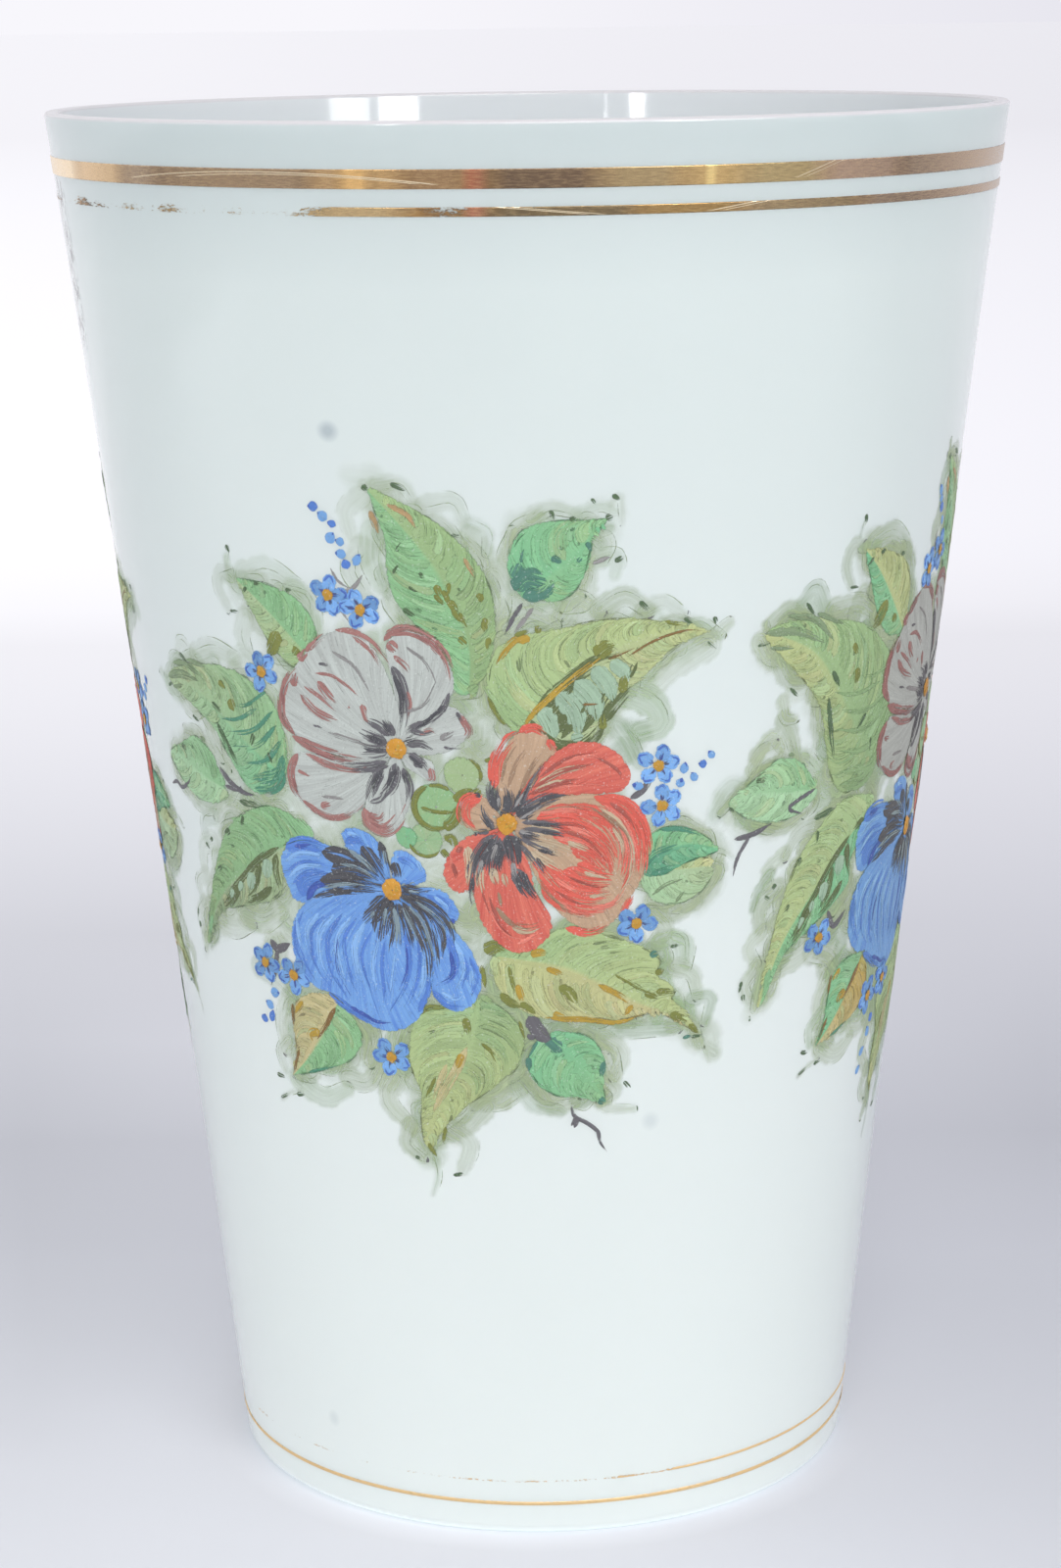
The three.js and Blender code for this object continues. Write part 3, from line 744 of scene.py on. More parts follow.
# Touches on the petals: the paint, then each touch by its width and its path
FLOWER_TOUCHES = {"mauve": [
    ("old rose", (1.9, (-21, 22), (-16, 20.2), (-10, 18.9), (-4, 18.6)),
     (1.3, (-18, 19), (-12, 16.9), (-6, 16.6), (-2, 18)),
     (1.7, (-20.5, 22.5), (-23.3, 26), (-23, 31), (-21, 35), (-18.5, 37.5)), (1.6, (-19.8, 33), (-18.6, 36)),
     (1.8, (-18, 38.5), (-15.8, 41)), (1.3, (-16, 40.5), (-12.5, 43.5), (-10.3, 44.7)),
     (1.1, (-9, 45.3), (-5, 45.2), (-1.5, 43.5), (1.5, 40.5), (3.2, 38)),
     (0.8, (-5, 44.6), (-1, 41.5), (0.6, 38)), (0.8, (-14, 36), (-10, 35.8), (-6, 33), (-3.5, 30.5)),
     (1.6, (-14, 34.3), (-12, 31.8), (-10, 30)), (0.8, (-17.5, 33), (-13, 30.5), (-9, 27.5)),
     (1.5, (-18.5, 31.3), (-15, 28), (-9, 26)), (1.3, (-4.2, 30.5), (-3.6, 28), (-3, 26.5)),
     (1.0, (-7.3, 29.6), (-6.6, 29.2)),
     (2.0, (1.8, 43.5), (3.5, 45.3), (7, 46), (11, 44.4), (14, 41), (15.1, 37), (14.6, 33.5)),
     (2.0, (2.2, 43.4), (4.2, 41.5)), (1.0, (3.2, 41), (5.6, 39), (6.6, 37)),
     (0.7, (5.8, 34), (6.3, 31), (5.5, 28)), (1.4, (16.2, 29), (17.8, 25.8), (16.4, 23.8)),
     (0.8, (8, 24.5), (10, 25.5), (11.5, 24.6)), (1.7, (-20, 18.5), (-22, 15), (-21.8, 11), (-19, 7.5)),
     (1.2, (-20, 8.6), (-15, 5.9), (-11, 5.7), (-7, 7.5), (-4.8, 9.6)), (1.4, (-15.5, 7.6), (-13, 8.4)),
     (1.0, (-20.6, 15), (-17.6, 14.2)), (2.6, (-5.2, 8.4), (-4.2, 5.2), (-1, 3.9), (2, 6.2), (4.2, 10)),
     (1.4, (-4.4, 7.4), (-2, 6.6), (-0.6, 8)), (1.2, (9.8, 17.8), (10, 15.6), (8.6, 15.2))),
    ("pink", (0.8, (-22.6, 28), (-22.2, 32), (-19.6, 35.6)), (0.7, (8, 45.4), (12, 43), (14.6, 38.4)),
     (0.8, (-17, 20), (-11, 18.5), (-6, 18.2)), (0.6, (-4.4, 5.4), (-1, 4.4), (1.4, 6)),
     (0.7, (-21.6, 13), (-20.8, 9.6))),
    ("ash", (0.7, (4, 29), (9, 31), (12, 36)), (0.9, (-12, 24), (-6, 22.6), (-2, 22)),
     (0.6, (-15, 10), (-9, 10)), (0.8, (6, 43), (10, 40), (12, 35)), (0.7, (-10, 41), (-5, 38), (-2, 33)),
     (1.2, (12, 24), (15, 25.6))),
    ("smoke", (2.1, (2.7, 38.6), (4.4, 35), (4.9, 31), (4.5, 27), (3.4, 24.5)),
     (1.2, (14.4, 33.6), (12.6, 30), (9, 27.2), (6, 25.8)), (1.2, (9, 27.4), (6.4, 26), (4.6, 24.6)),
     (1.3, (0.8, 18.6), (-4, 17.4), (-10, 17.2)), (0.8, (1, 18), (-5, 16.4), (-9, 16.5)),
     (2.2, (-0.5, 17.6), (-2.8, 13.5), (-4.4, 9.8)), (2.2, (2.6, 18.4), (1.6, 14), (-1.6, 10.4)),
     (1.5, (3.8, 17.8), (4.9, 13.6), (4, 10)), (1.0, (-4, 9.6), (-1.6, 10.5), (0, 13)),
     (2.0, (1, 22.4), (-2.6, 23.6), (-5.4, 24.8)), (1.8, (0.6, 21.6), (-3, 21.6), (-5.6, 22.4)),
     (1.6, (1, 21), (-2.4, 20.2), (-5, 20)), (1.8, (1.6, 24), (-0.6, 26), (-3.6, 27)),
     (1.6, (2.4, 24.4), (1, 26.6), (0, 28)), (1.4, (5, 22.6), (8, 23), (10.6, 21.6)),
     (1.6, (5, 20.4), (7.4, 18.8), (9, 16.6)), (1.8, (6, 19), (8.6, 18.6)),
     (1.0, (6, 25.4), (9, 25), (11, 25.6)), (0.7, (12.5, 22.4), (16, 22.1)), (0.7, (15.8, 29.4), (17, 27)),
     (0.6, (13, 31), (13.8, 29.6)), (0.6, (-13.4, 38), (-11, 37.8)), (0.5, (-15.8, 25), (-13, 24.4))),
    ("ink", (1.2, (3.2, 37), (4.6, 33), (4.6, 28.6), (3.8, 25.6)), (0.9, (13, 31.2), (10, 28.2), (6, 26)),
     (1.2, (-0.8, 17), (-3.4, 12.4)), (1.2, (2.2, 17.6), (0, 12.6)), (0.9, (4.2, 16.6), (4.7, 12.8)),
     (1.1, (0, 22.6), (-3.4, 24.6)), (1.1, (0.4, 20.8), (-4.4, 21.2)), (1.0, (4.8, 23.4), (7.6, 24.4)),
     (1.0, (2.2, 24.6), (0.6, 27.6)), (1.0, (5.4, 20.2), (8.2, 17.6))),
], "red": [
    ("scarlet", (3.4, (43, 12), (49.4, 8), (51.4, 1), (50.6, -7)),
     (3.0, (44, 9), (48.2, 4), (48.6, -3), (46, -9)), (3.0, (34, 8), (40, 8.6), (45.6, 6), (47.4, 0)),
     (4.5, (30.5, 7.4), (37, 7.6), (43, 4), (46.2, -2.5)),
     (4.2, (33, 4.8), (39, 3.6), (43.6, 0), (45, -4.6)), (3.6, (37, 1.6), (41, -0.6), (44.4, -5.4)),
     (4.4, (30.4, -2.4), (34, -6.6), (39, -9), (44.6, -9)),
     (4.2, (31, -5.6), (35, -9.8), (40, -11.4), (44, -11)), (3.4, (35, -3.6), (39.6, -6), (45, -6.6)),
     (2.2, (38, -2.4), (42, -4.4), (45.4, -5.4)), (2.6, (42, 12), (48, 9.2), (51.2, 4), (52, -2.4)),
     (1.6, (35, -15.8), (40, -17), (44.6, -15.2)), (1.2, (46.4, -13.6), (49.6, -9)),
     (1.5, (29.6, -1.4), (31.4, -4.6)), (2.4, (22.4, 14), (23, 19.6), (26, 24.4), (29.4, 26)),
     (1.6, (28, 25.6), (31, 26.2), (33.6, 24.4)), (1.4, (33.2, 24), (35, 21)),
     (2.6, (19.6, 12.2), (16.4, 10.8), (15.8, 7.4), (18, 5))),
    ("salmon", (1.6, (44, 10), (48, 5), (49.4, -2), (47, -9)), (1.4, (46, 6), (47.6, 0), (46, -6)),
     (1.2, (40, -12), (45, -11), (48, -7)), (1.4, (31, 8.8), (38, 9), (44, 5)),
     (1.3, (34, 3.4), (40, 1.4), (44, -3)), (1.4, (33, -5), (38, -8.4), (44, -8.4)),
     (0.7, (35, 19), (42, 20.4), (48, 17)), (0.8, (20, -12), (23, -17), (28, -18.6)),
     (0.7, (12.6, 0), (12.6, -5)), (0.8, (25, -19.4), (30, -17)), (0.6, (33, 13.6), (40, 14.2), (46, 13.6)),
     (1.3, (33, -10), (38, -13), (43, -13)), (1.1, (36, 5.6), (41, 3.4), (44.6, -1))),
    ("beige", (0.8, (42.6, 9.8), (47, 6.4), (49.4, 1), (48.8, -5), (46, -10)),
     (0.8, (45.4, 5), (47.4, 1), (47, -4)), (2.2, (28, 5.2), (32, 5), (36.4, 4.4)),
     (2.4, (28, 3), (33, 1.6), (38, -0.6)), (2.0, (28.6, 0.6), (31.6, -1.6), (34.6, -3.6)),
     (1.4, (36, 2.6), (40.6, 0.4)), (1.2, (31, 15), (36, 17.6), (42, 18.6)),
     (1.0, (30, 13.4), (34, 15), (38, 15.6)), (1.6, (18.6, -2.6), (18.4, -6), (18.8, -8.6)),
     (1.6, (20.6, -3), (21.4, -7)), (1.2, (23, -4), (23.6, -7)),
     (1.3, (24, -15.6), (27, -16.4), (29.6, -15.6)), (2.0, (16, 1.4), (16.2, -3), (15.4, -7)),
     (0.9, (40, -9.6), (44.6, -8.4)), (1.0, (39, -4), (43.6, -5.6))),
    ("dun", (0.8, (25, 14), (27, 19), (30, 23)), (0.8, (27, 12.6), (29.6, 18), (33, 22.6)),
     (0.9, (28.4, 12.6), (31, 17), (34.4, 21.6)), (0.6, (43, 9), (48, 3.6), (49, -3)),
     (0.6, (32, -9), (36, -13), (42, -14.6)), (0.5, (31, 9), (37, 9.8), (41, 8.8)),
     (0.6, (41, 10), (46, 5.6), (48, 0)), (1.0, (21, -11), (24, -14.6), (28, -15.2), (31, -14)),
     (0.6, (22, -8), (22.6, -11.6)), (0.6, (30, -5), (32.6, -9.6), (36, -12)),
     (0.6, (23.6, 15), (25, 20), (27.6, 23.6))),
    ("brick", (1.0, (29, 12.6), (35, 14.8), (42, 15.4)), (0.8, (30, 13.8), (36, 17), (43, 18.6)),
     (0.7, (31.6, 16), (37, 19.6), (44, 21)), (0.7, (32, 6.4), (38, 6.2), (43, 2.4)),
     (0.6, (33, -7.6), (38, -10.6), (43, -10.8)), (0.6, (36, -5), (41, -7.2), (45, -7.4)),
     (0.7, (20, -9), (22, -15), (26, -18.6)), (0.6, (18.6, -8), (20, -13)), (0.8, (12.6, -2), (13.6, -6)),
     (0.9, (14, 0), (15.6, 1.8)), (0.6, (43, 20), (47, 17), (48, 14)), (0.9, (45, 10.8), (49, 7), (51, 2)),
     (0.6, (34, 5.4), (40, 3), (44, -2))),
    ("smoke", (2.4, (22.6, 9.6), (21.6, 12.6), (22.3, 16)), (1.0, (27.5, 10), (29.6, 14.6), (32.6, 19)),
     (1.8, (24.6, 9), (25, 12), (24.6, 15)), (2.2, (26, 8.6), (29, 10.4), (33, 12), (36.4, 12.4)),
     (1.2, (27.4, 6.8), (33, 6.5), (38, 5)), (1.0, (27.6, 5.6), (32, 5), (36.4, 4)),
     (1.6, (26.8, 4.4), (29.4, 3.4), (32, 2.6)), (0.9, (27, 3.2), (31, 1.2), (34.8, -0.4)),
     (1.0, (26.6, 2.4), (29.4, -1), (31.6, -4.4)), (3.0, (24.2, 4), (25, 0), (25.4, -4)),
     (2.8, (22.6, 4), (19.4, 0.6), (17.4, -4), (16.8, -9)), (2.6, (22.8, 3.6), (21, -1), (20.6, -5)),
     (2.6, (25.4, -3), (27.2, -6.6), (29.2, -9.8)), (1.4, (21.6, 5.4), (19.6, 8.6), (19.4, 10.6)),
     (1.0, (20.8, 4.6), (17.8, 4.6))),
    ("ink", (1.8, (22.8, 9.2), (22, 12), (22.4, 14.6)), (2.4, (24.6, 9), (25.2, 11), (25, 13.6)),
     (1.4, (26, 9), (28, 13.4), (30.4, 16.4)), (2.8, (26.6, 8), (28.8, 9.6), (31.4, 11.2)),
     (1.0, (31, 11.2), (34, 12.2), (37, 12.6)), (0.8, (29, 6.6), (34, 6.2), (37.8, 5.2)),
     (0.9, (31, 5), (34.6, 4.4), (36.4, 3.6)), (1.3, (27.4, 4.2), (29.4, 3.4), (31, 2.9)),
     (0.7, (30, 0.8), (33, -0.2), (34.6, -0.6)), (0.8, (29.8, -0.6), (31, -2.8), (31.8, -4.4)),
     (3.2, (24.6, 4), (25.4, 1), (25.7, -2.4)), (2.4, (26.4, -3.4), (27.4, -6.8), (29.4, -9.9)),
     (2.0, (22, 3.4), (19, -0.4), (17.2, -6)), (1.0, (17, -5), (16.4, -9), (16.9, -12.2)),
     (2.0, (22.6, 2.6), (20.8, -1.6), (20.6, -4.4)), (1.3, (23.4, 1), (22.4, -2.6), (23, -4.8)),
     (0.9, (21.6, 5.4), (20, 8), (19.5, 10)), (1.2, (19.4, 12.4), (17.8, 12.2)),
     (1.0, (18.6, 4.4), (17.6, 4.7)), (2.0, (23, 9.4), (24.4, 8.8), (25.8, 8.8))),
    ("ash", (1.2, (22.4, 2), (21.4, -0.6), (21.2, -2)), (1.0, (25, -1.6), (25.2, -4), (25.8, -5.4)),
     (0.7, (23.2, 12), (23.4, 9.6)), (0.6, (26.8, 7.6), (30, 9.4), (33, 11)), (0.9, (27, 5.2), (30, 4.6)),
     (0.8, (19, -1), (17.8, -5)), (0.6, (26.4, 10), (28.6, 13.6))),
], "blue": [
    ("cobalt", (2.8, (-25, -2.4), (-20, -0.6), (-14, -1.2)), (3.4, (-22, -12.6), (-20.6, -9), (-14, -7)),
     (1.0, (-25, -7), (-20, -4.6), (-13, -4.6)), (1.0, (-24.6, -10), (-20, -6.8), (-14, -6)),
     (0.7, (-22, -15.4), (-24.2, -20), (-23, -26), (-20, -31)),
     (0.8, (-16, -15.6), (-20, -20), (-19.6, -27), (-16, -31.6)),
     (1.1, (-12, -15), (-16, -21), (-15.6, -28), (-12, -34)),
     (0.8, (-8.6, -15.6), (-12, -21), (-11, -29), (-8, -35.6)),
     (0.7, (-5.6, -18), (-8.4, -24), (-7, -31), (-5, -37.6)),
     (0.8, (-2.6, -20), (-3.6, -26), (-3.4, -32), (-4, -37)),
     (1.2, (1.6, -17.6), (2.4, -23), (1, -29), (-3, -36)),
     (0.8, (4.6, -18), (4.8, -24), (2.6, -31), (-1, -37)), (1.6, (-17, -33), (-11, -36.6), (-6, -38.8)),
     (1.2, (3.6, -35), (6, -30), (6.6, -25)), (1.6, (10.6, -17.6), (12, -23), (11, -27), (7.4, -28.8)),
     (0.8, (13, -20.4), (14.6, -25), (13, -30)), (0.9, (15, -22.4), (16.2, -27), (14.4, -31.6)),
     (1.4, (7, -30), (10, -33), (13.6, -33)), (0.8, (7, -9.4), (9.6, -11), (10, -13.6)),
     (0.7, (9, -8.8), (11.6, -11), (12, -13.6)), (1.4, (-10.6, 0.6), (-8, 1.4), (-5, 0.4)),
     (1.4, (1.4, -1.6), (4, -2.4), (5.4, -4.4)), (0.8, (-24, -17), (-25, -23), (-22.6, -29))),
    ("pale blue", (0.9, (-25.6, -5.4), (-21, -2.8), (-14, -3)),
     (0.9, (-23.6, -16.6), (-23.4, -22), (-21, -28)), (1.3, (-18, -15.6), (-21.4, -20), (-21, -27)),
     (1.2, (-13.6, -15), (-17.8, -20), (-17.8, -27), (-14.6, -32)),
     (1.1, (-10, -15), (-14, -21), (-13.4, -28), (-10.4, -33.6)),
     (1.4, (-7, -16), (-10, -22), (-9, -29.6), (-6.6, -36)), (1.0, (-4, -19), (-5.8, -25), (-5.2, -32)),
     (0.8, (-0.6, -22), (-1.6, -28), (-2.6, -34)), (1.0, (6, -22), (5.4, -28), (2, -34.6)),
     (0.9, (-24.8, -8.8), (-20.6, -5.6), (-14, -5.2)), (1.0, (12.4, -18.4), (14, -24), (12, -30)),
     (0.9, (9, -30.4), (12, -31.6), (14.6, -29.6)), (0.9, (15.6, -25), (15.6, -29.6)),
     (0.8, (-9.6, 2.6), (-6.4, 2.2)), (0.8, (5.6, -2), (6.6, -4.6)),
     (0.8, (8.4, -9.6), (10.8, -11.6), (11.2, -13.8))),
    ("navy", (1.4, (-20.6, -13), (-18, -9.6), (-13, -7.8)), (1.0, (-23, -1.4), (-18, -0.6)),
     (0.5, (-13.6, -20), (-14.4, -27), (-11.6, -33)), (0.5, (1.8, -20), (1.6, -26), (-1, -32)),
     (0.9, (11.4, -21), (11.6, -26), (8.4, -28.6)), (0.9, (-12, -35.4), (-7, -37.6)),
     (1.2, (12, -14.6), (12.8, -14.2)), (0.8, (-9, -36), (-6, -37.6), (-2, -37.4))),
    ("ink", (3.2, (-16, -2), (-10, -2.8), (-3, -6)), (4.0, (-14, -5.4), (-8, -5.2), (-2, -7)),
     (2.8, (-17, -8.2), (-9, -7.4), (-2, -8)), (1.3, (-19, -12.4), (-12, -10.2), (-3, -9.2)),
     (1.5, (-15, -10.4), (-8, -8.9), (-2, -9)), (2.6, (-6.4, 0.4), (-4, -2.6), (-1.6, -6.4)),
     (1.6, (-2.6, 1.6), (-1.6, -2.4), (-0.6, -6.4)), (2.0, (0.4, -2.6), (1, -5), (0.6, -6.6)),
     (1.8, (2, -7.6), (5, -8.2), (8.8, -7.4)), (3.4, (-1, -10.6), (-4, -13.4), (-7.6, -16.8)),
     (3.6, (-0.6, -11), (-2.8, -15), (-4, -20.4)), (1.2, (0, -11), (-0.6, -17), (-1.8, -22)),
     (1.4, (2, -10.2), (5.8, -13), (7.8, -18), (8.4, -25.6)),
     (2.0, (2, -10.8), (4.6, -15), (6.6, -21), (6.6, -28)),
     (1.4, (3, -9.8), (7, -12.4), (10, -17), (9.6, -22.6)),
     (1.7, (3.6, -9.4), (8.6, -12), (11.6, -16), (12, -20.6)), (1.4, (1, -11.2), (2.4, -16), (3.8, -22)),
     (1.2, (0.6, -11.4), (1.2, -17), (0.8, -21)), (2.2, (1.2, -9.4), (4, -9.4), (6, -10.6))),
    ("steel", (1.0, (-9.4, -0.8), (-6, -3), (-2.6, -6)), (0.7, (-11.6, -3.8), (-7, -4.4), (-3, -6.6)),
     (0.8, (-16.6, -10), (-11, -8.6), (-4, -8.6)), (0.7, (-1.4, -0.4), (-1, -4)),
     (1.2, (0.2, -12), (0.6, -17), (0, -22)), (0.9, (-2, -12.4), (-2.8, -16.6)),
     (1.0, (2.8, -11.4), (6, -16), (7.6, -23)), (0.8, (1.8, -11.8), (3.4, -16), (5.4, -21)),
     (0.7, (4.6, -10.6), (9, -14), (10.8, -18)), (0.7, (-4.4, -13.6), (-6, -16)),
     (0.6, (3.4, -8.4), (6.4, -9))),
]}

# Leaves of the front: the paints of the one side and of the other, each at the base and at the tip,
# then the rib and the two margins, all from base to tip
LEAVES = {"left_pale": (("pale mint", "pale mint", "mint", "pale mint"),
    [(-42, 8), (-50, 10), (-57, 12), (-64, 12.5)],
    [(-42, 6), (-46, 4), (-53, 4), (-60, 7), (-65, 12)],
    [(-43, 10), (-46, 15.5), (-52, 18), (-58, 15.5), (-65, 12.5)],
), "right_pale": (("olive mint", "pale lime", "pale mint", "sage"),
    [(50, -3), (57, -5), (66, -5)],
    [(50, -2), (55, -1), (61, -1.5), (67, -4)],
    [(50, -5), (53, -11), (59, -12.5), (64, -10), (67, -6)],
), "right_jade": (("jade", "mint", "deep jade", "jade"),
    [(50.5, -4), (56, -1), (62, 0), (68, -1.5)],
    [(50.5, -3), (52, 2), (57, 4.6), (63, 3), (68, -1)],
    [(50.5, -5), (55, -6), (61, -3.6), (68, -2)],
), "upper_left": (("olive mint", "sage", "mint", "mint"),
    [(-14, 38), (-20, 44), (-27, 50), (-33, 54)],
    [(-15, 37), (-20, 37), (-25, 41), (-29, 47), (-33, 53.5)],
    [(-13, 40), (-13.5, 46), (-17, 51), (-24, 53.5), (-33, 54.3)],
), "top": (("mint", "mint", "fern", "olive mint"),
    [(18.5, 33), (19, 44), (14.5, 57), (8, 66), (0, 74.5)],
    [(15.5, 34), (14, 42), (9, 46.5), (4.5, 52), (3, 58), (3.2, 64), (1.5, 70), (0, 74.5)],
    [(18.5, 33), (22.5, 38), (24.3, 46), (24.3, 53), (22, 59.5), (18, 64.5), (13.5, 68.5), (7, 72),
     (1, 74.8)],
), "upper_right": (("jade", "mint", "mint", "jade"),
    [(31, 53.5), (37, 58), (42, 62.5), (48, 68.5)],
    [(30, 53.5), (27.3, 58.5), (28.2, 63), (31, 66.8), (36, 68.3), (42, 68.3), (48, 68.5)],
    [(31, 53.3), (35, 52), (39, 53), (42.3, 57), (43.5, 61.5), (44.8, 65.5), (48, 68.5)],
), "veined": (("olive mint", "lime", "sage", "lime"),
    [(28.5, 26), (34, 31.5), (40, 37), (47, 41.5), (57, 44.5), (68, 44.5)],
    [(26.5, 26), (23, 30), (21.7, 36), (24, 42.5), (29, 45.5), (36, 46.5), (44, 48), (52, 48.2), (59, 47),
     (68, 44.8)],
    [(30.5, 25.8), (33.5, 22.8), (38, 21.5), (42, 23.5), (44, 27), (46, 31), (52, 35), (57, 39.5),
     (61, 42.5), (68, 44.3)],
), "lower_right": (("olive mint", "lime", "lime", "tan"),
    [(21, -22), (33, -24.5), (41, -28.5), (47, -32.5), (54, -36), (62, -41.5)],
    [(20, -20.5), (28, -18.5), (36, -15.5), (44, -18), (51, -21), (55.4, -24.5), (52.6, -27), (58, -30.6),
     (56, -32.4), (60, -36.6), (62.5, -41.5)],
    [(19.5, -24), (20.5, -29), (24, -33), (30, -35.8), (38, -36), (46, -36.5), (54, -35.6), (59, -39),
     (62, -41.8)],
), "bottom": (("fern", "lime", "olive mint", "lime"),
    [(17, -31), (14.5, -41), (11, -48), (6, -57), (3, -64)],
    [(17, -31), (22, -33.5), (25.5, -39), (24, -45.5), (19, -50.5), (13, -55), (8, -60), (4.5, -66)],
    [(12, -32), (7, -33.5), (3, -36), (1.2, -41), (1, -47), (3, -53), (2.5, -58), (3, -64.5)],
), "bottom_jade": (("jade", "mint", "jade", "mint"),
    [(30, -39.5), (36, -45), (41.5, -54.5)],
    [(31, -39.3), (35, -38.5), (39.5, -40.5), (41.8, -45.5), (41, -50), (41.7, -54.5)],
    [(28, -40.5), (25.6, -45), (27.3, -50), (32, -53), (37.5, -53.2), (41.3, -54.9)],
), "lower_left": (("mint", "mint", "tan", "tan"),
    [(-15, -35), (-19.5, -42), (-24, -48.5), (-28.5, -53.5)],
    [(-14, -35.5), (-11, -38), (-9.5, -43), (-13, -47.5), (-19, -50.5), (-28, -53.4)],
    [(-16, -34), (-21, -33.5), (-26, -36.5), (-27.3, -42), (-27, -48), (-28.7, -53.5)],
), "mossy": (("sage", "grey sage", "mint", "fern"),
    [(-19, 0), (-28, -3), (-38, -9), (-47, -16), (-52, -23), (-55.5, -29.5)],
    [(-20, -3), (-27, -8), (-27.5, -13), (-34, -16), (-42, -18.5), (-48, -20.5), (-54, -28.5)],
    [(-18, 3), (-28, 6.5), (-36, 4), (-42, 0), (-46, -5), (-49.5, -12), (-52.5, -19), (-56, -29)],
), "left_jade": (("jade", "sage", "mint", "sage"),
    [(-25, 14), (-33, 19), (-42, 25), (-50, 29), (-60, 30)],
    [(-25, 13), (-30, 8.5), (-35, 9.5), (-39, 14), (-44, 20.5), (-50, 24), (-57, 27), (-61, 29)],
    [(-23, 15), (-23, 22), (-26, 29.5), (-32, 33), (-40, 35), (-50, 34), (-58, 32), (-61, 30)],
)}

